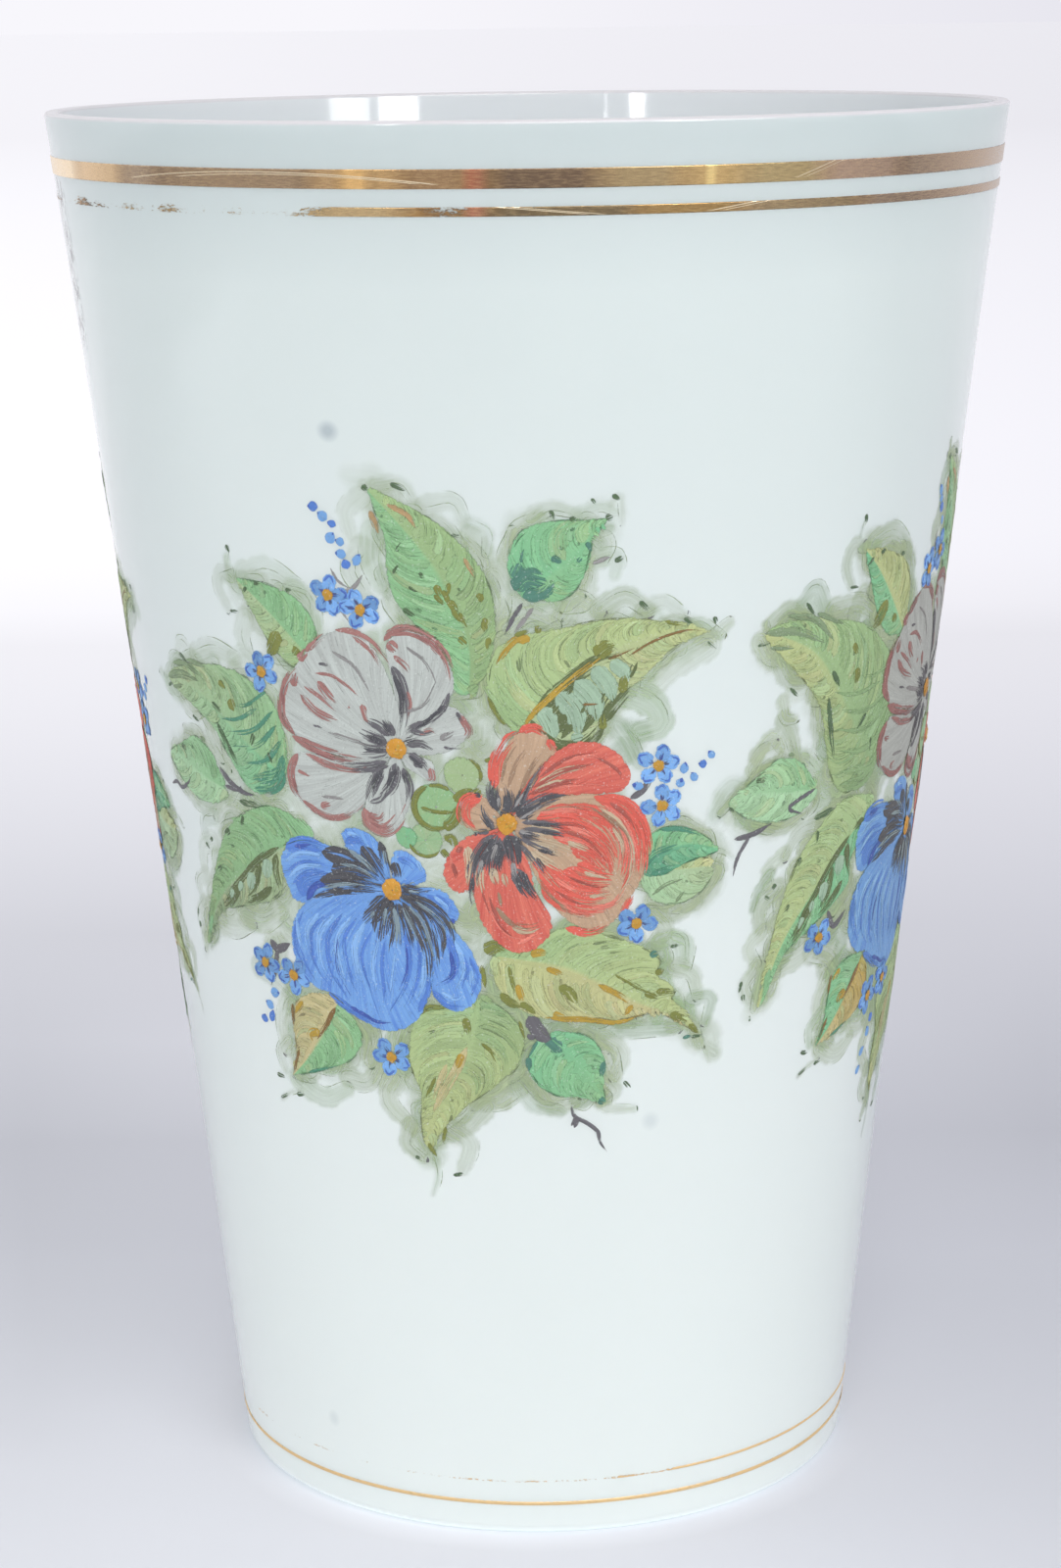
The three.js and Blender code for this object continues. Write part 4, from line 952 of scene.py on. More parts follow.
# Touches on and round each leaf, in the same way
LEAF_TOUCHES = {"left_pale": [
    ("forest", (1.0, (-58, 15), (-56, 14.4)), (0.6, (-64.6, 11), (-63.4, 9.8))),
    ("grey sage", (1.0, (-57, 14.5), (-55.5, 14.8)), (0.9, (-48, 17.5), (-50, 18))),
], "right_jade": [
    ("deep jade", (1.4, (51, -4), (54, -1), (59, 0.4)), (1.0, (55, 4), (60, 3.6), (65, 1.4)),
     (1.2, (53, -5.4), (58, -4.4))),
], "right_pale": [
    ("grey sage", (0.7, (53, -10), (56, -8), (60, -7)), (0.6, (58, -12), (60, -9.6))),
], "upper_left": [
    ("forest", (0.9, (-35, 60.8), (-34.2, 59.2)), (0.6, (-35.6, 47), (-33, 47))),
    ("olive", (2.8, (-22.5, 44), (-24.5, 40.4), (-26, 38.6)), (1.8, (-18, 41), (-19.2, 39.4))),
    ("forest", (0.8, (-28, 53.3), (-26, 53.8)), (0.8, (-20, 52.8), (-18.5, 52.8)),
     (0.7, (-30, 52.5), (-31.6, 51))),
], "top": [
    ("forest", (0.9, (5, 75.6), (8.4, 74.2)), (0.7, (16.6, 65.6), (19.6, 65))),
    ("olive", (1.3, (13, 55.5), (14, 53)), (1.0, (14.5, 54.5), (15.6, 51.5)),
     (1.5, (15.5, 52.5), (17, 49.5)), (0.9, (12.6, 53.5), (14.6, 51.5)), (1.3, (16, 50.6), (18, 48)),
     (0.9, (17.4, 50), (18.8, 47)), (0.9, (15.8, 56), (15, 53)), (1.4, (17, 45), (18.5, 43.5)),
     (1.2, (21.5, 54), (22, 52)), (1.2, (22.5, 49), (22, 46)), (1.0, (23, 45), (22.5, 42.5))),
    ("forest", (0.8, (5.5, 62), (7, 64)), (0.8, (4.5, 57.5), (6, 59.5)), (1.0, (6, 50.5), (8.5, 49)),
     (0.8, (7.5, 55), (9.5, 54)), (0.9, (8, 47), (10, 46)), (1.2, (-0.8, 75), (0.3, 74)),
     (1.4, (11.6, 45), (12.6, 43)), (0.7, (10, 58), (10.6, 56.6))),
    ("tan rose", (1.2, (0.5, 70), (2, 65.5)), (1.0, (4, 71.5), (8, 69.5), (10, 66.5)),
     (0.8, (19, 61), (21, 57))),
], "upper_right": [
    ("teal", (3.6, (28.4, 54.6), (31, 57), (35, 56)), (2.2, (28.5, 57), (30, 60)),
     (2.4, (30, 53.2), (34, 54), (36.4, 56.5)), (1.4, (36, 61), (38, 60)), (0.8, (41, 60), (42, 61)),
     (0.9, (43, 64), (44, 62)), (0.7, (30, 60), (31, 63))),
    ("forest", (0.9, (48.6, 73.2), (50, 72)), (0.6, (44.4, 72.6), (45.2, 71.4)),
     (0.9, (48.4, 59.8), (50.4, 60.8)), (0.8, (36.3, 70.5), (37, 68.5)), (0.9, (40, 68.3), (41.2, 69)),
     (1.2, (47, 68.5), (48.6, 69))),
], "veined": [
    ("forest", (1.0, (53, 51.6), (55, 49.4)), (0.8, (62, 47.6), (64, 46.4)), (0.9, (68.6, 47.4), (69, 45.8)),
     (0.7, (67, 42.4), (69, 40.6))),
    ("moss", (3.6, (33, 26), (39, 29), (46, 35)),
     (3.2, (30.4, 28), (31.6, 24.6), (35, 22.4), (39, 22), (43, 24.6), (45, 28)),
     (2.2, (44, 27), (47, 30.6), (51, 35)), (2.6, (31, 29), (36, 34), (42, 38.5), (46, 40.5), (51, 40)),
     (1.4, (32.6, 27), (36, 31), (40, 36.4)), (1.4, (36, 24), (40, 29), (44, 36.6)),
     (1.4, (40, 25), (43.6, 30), (48, 37)), (1.2, (50, 36), (52, 39.6))),
    ("lichen", (3.2, (32.4, 30.6), (34, 27.6), (35, 24.2)), (3.8, (35.8, 33.6), (38.8, 29.6), (39.8, 24.6)),
     (3.8, (39.4, 36), (42.6, 32), (43.4, 27.4)), (3.3, (43, 38.6), (45.8, 35), (46.8, 31.4)),
     (2.6, (46.6, 39.6), (49, 37.6), (50, 35.2)), (1.6, (38, 24), (40.6, 24.6))),
    ("olive", (1.4, (44.4, 25.6), (44.6, 29)), (1.6, (48.6, 33), (49.4, 37))),
    ("umber", (0.6, (40.6, 31), (44, 31))),
    ("gold", (1.2, (28.6, 26.4), (31, 29.5), (37, 35), (43, 39.5), (47.6, 42)),
     (1.3, (30, 45.6), (27, 43.5), (24, 39.5)), (1.4, (31, 45), (28.6, 44))),
    ("olive", (2.8, (43.6, 40.8), (46, 42.6), (47.6, 43)), (0.9, (22, 33), (24, 28.5), (26.5, 26.2)),
     (0.9, (28, 45.4), (31, 46.4)), (1.3, (32, 46.4), (33.4, 46.6)), (0.8, (58, 47.2), (62, 46.2))),
    ("umber", (0.5, (50, 40.4), (56, 43.5), (62, 45), (67, 44.5)), (0.5, (46, 40), (52, 42.4))),
], "lower_right": [
    ("forest", (0.8, (56.6, -21.6), (58.4, -21.4)), (0.7, (60.4, -42), (63, -41.8))),
    ("gold", (1.1, (30, -35.3), (34, -35.8), (38, -36), (45, -37), (50, -35.5)),
     (1.6, (31.5, -34.5), (34, -35.5)), (1.2, (30.6, -24.6), (34, -26)),
     (1.2, (41, -28.5), (45, -31), (48, -33.5)), (1.0, (48, -33.5), (46, -35.6)),
     (1.8, (27.6, -21.6), (31, -21)), (1.0, (24.6, -20.6), (26, -21)), (1.4, (24.6, -28), (25.4, -32))),
    ("olive", (2.0, (33, -28.5), (35, -30), (36.5, -32.5)), (1.6, (21, -30), (23, -32), (25.5, -33)),
     (1.3, (25, -32), (28, -34.5)), (2.6, (18.2, -21), (20.5, -20), (22.4, -20.8)),
     (1.0, (17.5, -24), (18, -29)), (0.9, (44.5, -26.5), (49, -29.5), (52, -31.5)),
     (1.2, (50.5, -31), (53.5, -32.5)), (1.4, (53, -31), (57, -31.5)), (1.8, (56, -36), (59.5, -38.5)),
     (1.2, (60, -39), (62, -41.3)), (1.2, (53, -27), (55, -26.4)), (0.8, (23, -24), (24, -30))),
    ("teal", (1.3, (52, -23), (54, -22.5)), (0.7, (58.5, -42), (60.5, -41.6))),
], "bottom": [
    ("forest", (0.8, (8.8, -71), (11.2, -70.4)), (0.7, (0.8, -67.4), (2, -67.8))),
    ("tan", (1.8, (13.5, -42), (11, -47), (8, -52), (5, -58)), (1.2, (9, -46), (5.6, -54))),
    ("gold", (1.5, (12.5, -43.5), (11, -47))),
    ("olive", (1.1, (3, -35.5), (6, -33.8), (10, -33.6)), (1.4, (13.5, -35.5), (14, -39.5)),
     (0.8, (16.5, -41), (18.5, -43), (19.5, -45.5)), (0.7, (24.5, -36), (25.5, -40)),
     (0.7, (6.5, -49), (4, -54)), (1.0, (4, -64), (5.5, -67)), (0.7, (8, -60), (7, -64))),
], "bottom_jade": [
    ("forest", (0.8, (45.4, -50.2), (46.8, -52))),
    ("teal", (2.6, (30, -40), (32, -42), (33, -43)), (1.1, (26, -44), (26, -47)),
     (1.1, (41.5, -45.5), (40.5, -49)), (1.5, (40, -53.8), (41.3, -54.8)), (0.7, (28, -40.5), (26, -44))),
], "lower_left": [
    ("forest", (0.9, (-33.6, -54.2), (-31, -54.6)), (0.7, (-33, -59.6), (-30.2, -58)),
     (0.9, (-28, -57.8), (-25.6, -57.2))),
    ("umber", (0.8, (-27, -37), (-27.2, -42)), (1.1, (-15.5, -36), (-18, -40), (-21, -44)),
     (0.7, (-26, -47), (-28.4, -53.4))),
    ("gold", (1.8, (-20, -42), (-22.5, -43), (-22, -44.5)), (1.2, (-24, -36), (-26.4, -39))),
    ("deep jade", (0.7, (-24, -52), (-20, -50.5), (-16, -49))),
], "mossy": [
    ("forest", (0.7, (-52, -5.6), (-50.6, -7)), (0.7, (-59, -22), (-60, -24.4))),
    ("moss", (1.6, (-27, -2.4), (-33, -6), (-40, -12), (-48, -19)),
     (1.8, (-28, -4), (-28.5, -8), (-27.6, -12)), (1.6, (-33, -7), (-35, -12), (-38, -15)),
     (2.2, (-40, -13), (-44, -17), (-47, -19)), (1.6, (-30, -11.6), (-34, -14.5), (-39, -16.5)),
     (1.4, (-22, -1), (-26, -2))),
    ("lichen", (2.6, (-30.4, -5.6), (-31.6, -10)), (2.4, (-35.6, -9.4), (-37, -13.4)),
     (1.4, (-42.4, -14.4), (-44, -16.6)), (1.4, (-39.4, -12), (-40.6, -14.4))),
    ("forest", (1.2, (-38, 6), (-36, 5.8), (-31, 5.8)), (0.9, (-37, 3), (-38, 0)),
     (1.3, (-42, -1), (-44, -2.5)), (0.9, (-46, -10), (-48, -11)), (0.9, (-49, -4), (-50, -5)),
     (1.2, (-57.6, -31), (-58.2, -31)), (0.9, (-59, -25), (-59, -26.6))),
    ("mint", (1.4, (-52, -22), (-55, -28))),
], "left_jade": [
    ("forest", (0.8, (-55, 35.6), (-52, 34)), (0.7, (-61.4, 27.4), (-59, 28.6)),
     (0.7, (-52, 22.4), (-49.6, 21.4))),
    ("deep jade", (2.6, (-24, 14.5), (-27, 10.8), (-33, 9.4)), (2.0, (-23.8, 18), (-26, 13.6), (-34, 11.4)),
     (1.3, (-24, 21), (-29, 16), (-36.6, 14.6)), (1.1, (-25, 24), (-31, 19), (-38.6, 17.8)),
     (1.0, (-25.6, 27), (-32, 22), (-40.4, 20.6)), (0.9, (-30, 27), (-36, 24), (-42, 23.4)),
     (1.0, (-23.4, 25), (-24.4, 29)), (0.8, (-27, 31), (-33, 27.4), (-38, 27))),
    ("forest", (1.2, (-43, 22.5), (-40, 18), (-36.5, 13)), (1.0, (-31.6, 21.5), (-33, 18.5)),
     (1.1, (-44, 26.5), (-41, 24.5)), (0.7, (-28, 18), (-27, 15.6))),
    ("grey sage", (1.6, (-61, 29.5), (-55, 31), (-48, 30.5)), (1.2, (-58, 33), (-52, 33.5), (-46, 31)),
     (1.0, (-52, 34.5), (-45, 34)), (0.9, (-59, 27.6), (-54, 28.6))),
    ("olive", (2.0, (-38, 28), (-37, 25.5)), (1.4, (-41, 31.5), (-39, 30))),
]}

# Loops of thin paint round each leaf: half their width, their strength and their path
LOOPS = {"upper_left": [
    (1.8, 0.34, (-34, 54), (-36.8, 55), (-38, 51.5), (-35.5, 47.5)),
    (0.6, 0.3, (-35.3, 56.5), (-35, 58.4), (-34.3, 60.4)),
    (2.4, 0.3, (-31, 45.5), (-32.5, 42), (-31.5, 38.5)), (3.0, 0.26, (-30, 54.5), (-24, 56.2), (-17, 53)),
    (2.8, 0.36, (-18, 52), (-14.6, 49), (-14, 45)),
], "left_jade": [
    (1.9, 0.28, (-50, 35), (-54, 38.2), (-56.4, 35)), (2.4, 0.3, (-48, 36), (-42, 38), (-35, 36.6)),
    (2.0, 0.28, (-36, 36.6), (-32, 38), (-28.6, 34)), (1.8, 0.34, (-60, 31), (-57.5, 34), (-52, 33)),
    (2.0, 0.34, (-61.5, 28.4), (-58, 26), (-53, 27.5)), (2.1, 0.3, (-56, 26), (-52, 23.2), (-47, 24.6)),
    (1.9, 0.26, (-46, 24), (-44.6, 19.6), (-42, 15)),
], "left_pale": [
    (1.9, 0.32, (-58, 13.6), (-62.4, 11.5), (-60, 7.6)), (1.5, 0.24, (-52, 17), (-56, 17.4), (-60, 14.4)),
    (2.1, 0.32, (-58, 6), (-51, 2.6), (-45, 3.8)), (1.8, 0.26, (-47, 17), (-44, 15.6), (-41, 12)),
], "mossy": [
    (1.9, 0.28, (-47, 1.4), (-51.4, -0.6), (-51.2, -5)), (2.2, 0.32, (-49, -5), (-53.4, -7), (-54, -12)),
    (1.8, 0.26, (-53, -13), (-57, -15.6), (-55.4, -20)),
    (1.7, 0.28, (-55, -20), (-58.8, -23.4), (-58, -27.4)),
    (1.8, 0.4, (-53, -20), (-55.4, -26), (-56.4, -29)), (2.5, 0.34, (-51, -22.4), (-44, -23), (-38, -20.6)),
    (2.5, 0.34, (-40, -20), (-34, -20.4), (-28, -17)), (2.0, 0.3, (-36, 4), (-42, 4.6), (-46, 1)),
], "lower_left": [
    (2.2, 0.28, (-28, -36), (-30.6, -42), (-30, -48)), (1.5, 0.32, (-29, -46), (-31.6, -49), (-30.6, -53)),
    (2.5, 0.34, (-27, -54), (-20, -56.8), (-14, -54)),
    (0.7, 0.4, (-32.8, -59.6), (-30, -57.6), (-26.6, -56.4)),
    (2.2, 0.34, (-14, -51.6), (-9.4, -52), (-6.6, -48)), (2.3, 0.34, (-11, -36), (-7.4, -41), (-8.4, -47)),
    (2.3, 0.24, (-36, -31), (-30, -33), (-26, -36)),
], "bottom": [
    (2.3, 0.36, (-2, -49), (-4.8, -55), (0.4, -61)), (1.7, 0.36, (0.4, -60), (-1, -65), (2.4, -68)),
    (2.5, 0.36, (24, -50), (20, -53.6), (15, -54.6)), (2.1, 0.3, (17, -55), (13, -59.4), (9, -62)),
    (2.1, 0.26, (8, -60), (12.4, -63.6), (10.6, -69.6)), (1.0, 0.26, (4, -64), (5.4, -71), (4, -76)),
    (2.4, 0.34, (0, -36), (-2, -42), (-0.6, -48)),
], "bottom_jade": [
    (1.9, 0.28, (27, -51), (30, -55.6), (35, -55)), (2.0, 0.26, (24, -50.6), (27, -55), (32, -56.6)),
    (1.9, 0.26, (42, -40), (45.8, -44), (44, -49)), (1.6, 0.3, (42, -50), (44, -52.4), (41, -54.4)),
], "lower_right": [
    (2.3, 0.34, (53, -14), (55.6, -17.4), (53, -21)), (1.9, 0.3, (54, -20), (58, -20), (58.8, -25)),
    (1.5, 0.28, (58, -19), (61, -21), (60.4, -26)), (1.9, 0.26, (57, -26), (61, -28), (62, -33)),
    (1.6, 0.34, (61, -33.6), (65.4, -34), (64, -39.4)),
    (0.6, 0.24, (62, -41.6), (63.4, -44.6), (64.4, -48.4)), (2.1, 0.28, (40, -38), (48, -38.8), (57, -39.4)),
    (2.2, 0.3, (36, -16), (43, -16), (50, -18.6)),
], "right_pale": [
    (1.6, 0.3, (66, -5), (68.4, -6.2), (64, -12)), (2.2, 0.34, (62, -12), (57, -14.6), (51, -13.4)),
    (0.8, 0.26, (66, -1), (69, -2), (71, -3.6)),
], "right_jade": [
    (1.6, 0.24, (53, 4), (58, 6.4), (64, 4)),
], "veined": [
    (2.1, 0.44, (27, 47), (31, 49.6), (36, 47.4)), (2.1, 0.3, (38, 48.6), (41, 52.4), (45, 49.4)),
    (2.2, 0.44, (45, 50), (50, 52.6), (54.6, 49.4)), (1.7, 0.26, (54, 49.4), (58, 51), (62, 48.4)),
    (2.8, 0.28, (66.4, 41.4), (60, 38), (54, 33)), (3.0, 0.36, (50, 33), (55, 30.4), (56.6, 26), (52, 24.6)),
    (2.1, 0.3, (47, 26), (49.4, 22), (51, 18)), (2.0, 0.3, (24, 44), (21.4, 38), (22, 31)),
], "upper_right": [
    (1.9, 0.28, (27.4, 61), (29, 67), (34, 69.6)), (1.7, 0.26, (32, 69), (36, 71), (41, 69.8)),
    (1.3, 0.24, (41, 69.8), (45.6, 71.2), (48.6, 70)), (0.9, 0.3, (48, 71), (50, 72.6), (50.2, 67)),
    (1.6, 0.28, (45, 66), (47.4, 63.6), (46, 60)), (1.9, 0.28, (45, 60), (49.2, 60.6), (48.6, 56.8)),
    (1.9, 0.3, (43, 57), (42, 52), (38, 51)), (2.3, 0.3, (29, 52), (31, 49), (36, 49.4)),
], "top": [
    (2.1, 0.34, (-1, 73), (-4.4, 70), (-3.6, 65)), (2.5, 0.36, (-2, 62), (-4.6, 58), (-2, 53)),
    (1.7, 0.3, (2, 75), (7, 75.6), (9.6, 72.4)), (2.0, 0.28, (12, 71.6), (17.6, 72.4), (19.6, 68.4)),
    (1.9, 0.3, (20, 66), (23.4, 62), (24, 57)), (1.5, 0.24, (21, 68), (24.4, 66), (24, 62)),
    (1.8, 0.28, (24.5, 57), (26, 52), (24.6, 46)), (2.5, 0.34, (1, 66), (0.4, 60), (2, 55)),
]}

# The side bouquets have the same leaves, some in other tones, each laid from another base to another tip
SIDE_TONES = {
    "left_jade": ("fern", "lime", "fern", "olive mint"), "mossy": ("jade", "mint", "olive mint", "lime"),
    "upper_left": ("mint", "jade", "lime", "lime"), "lower_left": ("gold", "tan", "mint", "jade"),
}
SIDE_LEAVES = {
    "left_pale": ((-43, 8), (-65, 8.5)), "right_pale": ((49, -4), (66, -6)),
    "right_jade": ((49, -3), (65, -1)), "upper_left": ((-18, 38), (-37, 57)), "top": ((16, 32), (-1, 72)),
    "upper_right": ((29, 52), (46, 68)), "veined": ((27, 25), (63, 44)),
    "lower_right": ((19, -23), (60, -41)), "bottom": ((12, -33), (-4, -66)),
    "bottom_jade": ((26, -41), (39, -55)), "lower_left": ((-18, -34), (-32, -50.5)),
    "mossy": ((-22, 0), (-51, -38)), "left_jade": ((-24, 10), (-61, 43)),
}

# Touches of ground that only the side bouquets have, in the same way as the loops
SIDE_LOOPS = [
    (2.2, 0.34, (-60, 17.5), (-57, 21), (-54, 18)), (2.4, 0.34, (-54.7, 24), (-52, 21), (-49.5, 15)),
    (2.0, 0.3, (-55.5, 28), (-54, 24.5), (-51.5, 24)), (2.0, 0.3, (-61, 14.5), (-59, 18), (-56, 19)),
    (1.8, 0.3, (-52.7, -9), (-55, -12), (-56, -16)),
]

# For each kind of bouquet: how thick its ground lies, how much it thickens towards the lower right, its own
# touches of ground, how much of each primary its flowers keep, and the paints of a leaf that give way
MIXES = {
    "front": (1.0, 0.35, [], {}, {}),
    "right": (1.4, 0.0, SIDE_LOOPS, {"mauve": (0.8, 0.76, 0.73), "blue": (1.0, 0.97, 0.87)},
              {"left_jade": {"deep jade": "fern"}}),
}

# Forget-me-nots and single buds by their middles, twigs by their paint, width and path
FRONT_SPRIGS = [(-10, 52.5), (-3, 49.8), (-28, 35), (55.5, 17.5), (56, 9), (49.5, -15.7), (-34, -29),
                (-26, -30.5), (-3, -45.5)]
FRONT_BUDS = [(-12, 70.3), (-10, 68.5), (-8, 67), (-8.5, 64.2), (-6.5, 63.5), (-6.5, 61), (-5.5, 59),
              (-3, 60), (61, 16.5), (60, 13.5), (63, 14.5), (65, 17), (51, 13.5), (67, 18.8), (-32, -35.5),
              (-34, -38.5), (-33.5, -41), (-36, -42)]
SIDE_SPRIGS = [(-36, -25.5), (-12, -44), (-4, -42), (-7, 49), (53, 23), (55, 16), (46, -14), (0, 52)]
SIDE_BUDS = [(-5, 65.5), (-3, 61.5), (-1, 58.5), (-4, 63.5), (-8, -50), (-9, -53), (-11, -57), (-12, -61),
             (59, 22), (61, 24), (63, 26)]
FRONT_TWIGS = [
    ("smoke", (2.8, (26.5, -35), (28.5, -38.5), (31, -41)), (1.4, (27, -39), (26.4, -40.2)),
     (0.8, (34.2, -55), (34.8, -57.4), (37, -58.8), (39.4, -61), (39.8, -63.4), (41.2, -65.8)),
     (0.6, (35, -57.6), (34, -59.6)), (0.8, (-66, 4.8), (-63, 5.8), (-60.5, 5), (-57, 6.6), (-55, 8.6)),
     (0.9, (35.6, -57.5), (34.6, -60)), (1.7, (-32, -23.5), (-30, -25.3), (-26.3, -23.5)),
     (1.1, (-30, -25), (-31.3, -30), (-33, -34)), (1.2, (49.3, 10.8), (52, 12.5), (54.5, 15.8)),
     (1.1, (-43.5, 12.5), (-40, 9.5), (-36, 8), (-33, 8)), (0.8, (-42, 8.7), (-38, 8)),
     (0.8, (30, 52), (28, 49), (26, 45.5))),
    ("ash", (0.8, (32, 51), (29.6, 48), (28, 46)), (0.5, (-9, 58), (-7.5, 55.5), (-5, 54)),
     (0.8, (-2, 57), (-4, 54.5), (-8, 51.5), (-5.5, 46.8)), (0.8, (44, 59.6), (47.6, 60.8))),
]
SIDE_TWIGS = [
    ("smoke", (1.1, (-63, 0), (-58.5, 0.5), (-54, 2.3)), (0.8, (-59, 0.6), (-61.5, -4), (-62, -8)),
     (2.0, (26, -35), (28, -39), (29, -42)), (0.9, (33, -55), (35, -59), (37, -63)),
     (0.9, (-43, 8), (-50, 5), (-46, 3)), (1.3, (-34, -20), (-31, -24), (-27, -21))),
    ("ash", (0.6, (-4, 57), (-5, 52), (-8, 47))),
]


class Leaf:
    """A leaf on the flat, from its rib and the margin on either side of it. One that is laid from
    another base to another tip is turned and scaled to them."""
    steps = 24

    def __init__(self, tones, rib, one, other, base=None, tip=None):
        self.tones = [PAINTS[name] for name in tones]
        lines = [smooth_path(line, self.steps) for line in (rib, one, other)]
        self.moved = lambda points: np.array(points, float)
        if base is not None:
            old, new = lines[0][-1] - lines[0][0], np.array(tip, float) - base
            turn = complex(*new) / complex(*old)
            spin = np.array(((turn.real, turn.imag), (-turn.imag, turn.real)))
            start = lines[0][0].copy()
            self.moved = lambda points: np.array(base, float) + (np.array(points, float) - start) @ spin
        self.rib, self.one, self.other = (self.moved(line) for line in lines)
        self.length = float(np.linalg.norm(self.rib[-1] - self.rib[0]))

    def pick(self, line, share):
        where = np.linspace(0, 1, self.steps)
        return np.stack([np.interp(share, where, line[:, i]) for i in (0, 1)], -1)

    def at(self, share, aside):
        """The point at a share of the rib, and aside from -1 (the one margin) to 1 (the other)."""
        share, aside = np.broadcast_arrays(np.clip(share, 0, 1), aside)
        reach = np.abs(aside)[..., None]
        margin = np.where((aside < 0)[..., None], self.pick(self.one, share), self.pick(self.other, share))
        return self.pick(self.rib, share) * (1 - reach) + margin * reach

    def half_width(self, share, sign):
        line = self.one if sign < 0 else self.other
        return np.linalg.norm(self.pick(line, share) - self.pick(self.rib, share), axis=-1)

    def lean(self, share, sign):
        """The share of the rib that a touch gains on its way out to the margin."""
        return 0.85 * self.half_width(max(share, 0.1), sign) / self.length

    def tone(self, share, aside):
        base_one, tip_one, base_other, tip_other = self.tones
        share, aside = (np.asarray(v, float)[..., None] for v in np.broadcast_arrays(share, aside))
        one, other = base_one * (1 - share) + tip_one * share, base_other * (1 - share) + tip_other * share
        return np.where(aside < 0, one, other)


def lay_leaf(coat, leaf, touches, rng):
    """A leaf: a first coat, the work on either side of its rib, and its own touches."""
    share, aside = np.linspace(0, 1, 34)[:, None], np.linspace(-1, 1, 21)[None]
    flat = leaf.at(share, aside)
    width = np.where(aside < 0, leaf.half_width(share, -1), leaf.half_width(share, 1))
    slant = share * leaf.length - 0.9 * width * aside ** 2
    brush = np.stack((slant + 30 * (aside > 0), aside * width), 2) + rng.uniform(0, 60)
    outline = np.vstack((flat[:, 0], flat[::-1, -1], flat[:1, 0]))
    edge = distance_to(flat.reshape(-1, 2), outline).reshape(flat.shape[:2])
    tone = leaf.tone(share, aside)
    coat.sheet(flat, domed(LEAF_FILM, edge), brush, tone * 1.2, tone * 0.94, edge)
    for sign in (-1, 1):
        lay_greens(coat, leaf, sign, rng)
        lay_hairs(coat, leaf, sign, rng)
        lay_ticks(coat, leaf, sign, rng)
    lay_touches(coat, touches, leaf.moved, 0.55)


def lay_greens(coat, leaf, sign, rng):
    """Broad touches in shifting greens that curve from the rib towards one margin."""
    mixed = [PAINTS[name] for name in ("tan", "mint", "lime", "fern", "pale mint", "sage")]
    for start in np.arange(-0.06, 0.92, 1.5 / leaf.length):
        start = start + rng.uniform(-0.03, 0.03)
        out = np.linspace(rng.uniform(0.02, 0.3), rng.uniform(0.8, 1.08), 5)
        at = np.clip(start + leaf.lean(start, sign) * out ** 2, 0.01, 0.99)
        share = rng.uniform(0.05, 0.34)
        tone = leaf.tone(at[2], sign) * (1 - share) + mixed[rng.integers(0, len(mixed))] * share
        tone = tone * rng.uniform(1.0, 1.2)
        coat.stroke(leaf.at(at, sign * out), rng.uniform(0.9, 2.6), tone * 1.08, tone * 0.86,
                    dry=rng.uniform(0.4, 0.9), thickness=0.04, tip=0.5)


def lay_hairs(coat, leaf, sign, rng):
    """Thin dark or light hairs along the same curves."""
    for start in np.arange(0.02, 0.88, 3.4 / leaf.length):
        start = start + rng.uniform(-0.04, 0.04)
        out = np.linspace(rng.uniform(0.02, 0.4), rng.uniform(0.7, 1.02), 5)
        tone = leaf.tone(start, sign) * rng.choice((0.74, 0.84, 1.3))
        path = leaf.at(np.clip(start + leaf.lean(start, sign) * out ** 2, 0.01, 0.99), sign * out)
        coat.stroke(path, rng.uniform(0.3, 0.55), tone, tone * 0.9, dry=0.9, thickness=HAIR_FILM, tip=0.6,
                    tail=0.4)


def lay_ticks(coat, leaf, sign, rng):
    """Short dark ticks, first on the leaf and then along its margin."""
    for start in rng.uniform(0.05, 0.85, 3):
        near = rng.uniform(0.05, 0.8)
        out = np.array((near, near + rng.uniform(0.08, 0.2)))
        tone = leaf.tone(start, sign) * rng.uniform(0.5, 0.7)
        path = leaf.at(start + leaf.lean(start, sign) * out ** 2, sign * out)
        coat.stroke(path, rng.uniform(0.5, 0.9), tone, tone * 0.85, dry=0.8, thickness=HAIR_FILM, steps=6)
    for start in rng.uniform(0.05, 0.9, 5):
        at = np.linspace(start, min(start + rng.uniform(2, 6) / leaf.length, 1), 4)
        tone = leaf.tone(start, sign)
        path = leaf.at(at, sign * rng.uniform(0.93, 1.02))
        coat.stroke(path, rng.uniform(0.3, 0.5), tone * 0.5, tone * 0.4, dry=0.9, thickness=HAIR_FILM,
                    tip=0.5, tail=0.5)


# How dry the brush is when it touches with each paint, where the touch itself is not wet
DRYNESS = {
    "lichen": 0.35, "deep jade": 0.75, "moss": 0.7, "forest": 0.7, "salmon": 0.8, "beige": 0.7, "ink": 0.8,
    "smoke": 0.75, "old rose": 0.75, "scarlet": 0.7, "cobalt": 0.75, "pale blue": 0.75,
}


def lay_touches(coat, touches, moved, dry):
    for name, *strokes in touches:
        tone = PAINTS[name]
        dryness = DRYNESS.get(name, dry) if dry > WET else dry
        for width, *path in strokes:
            coat.stroke(moved(path), width * 1.2, tone * 1.14, tone * 0.84, dry=dryness, tail=0.2,
                        steps=10 + 2 * len(path))


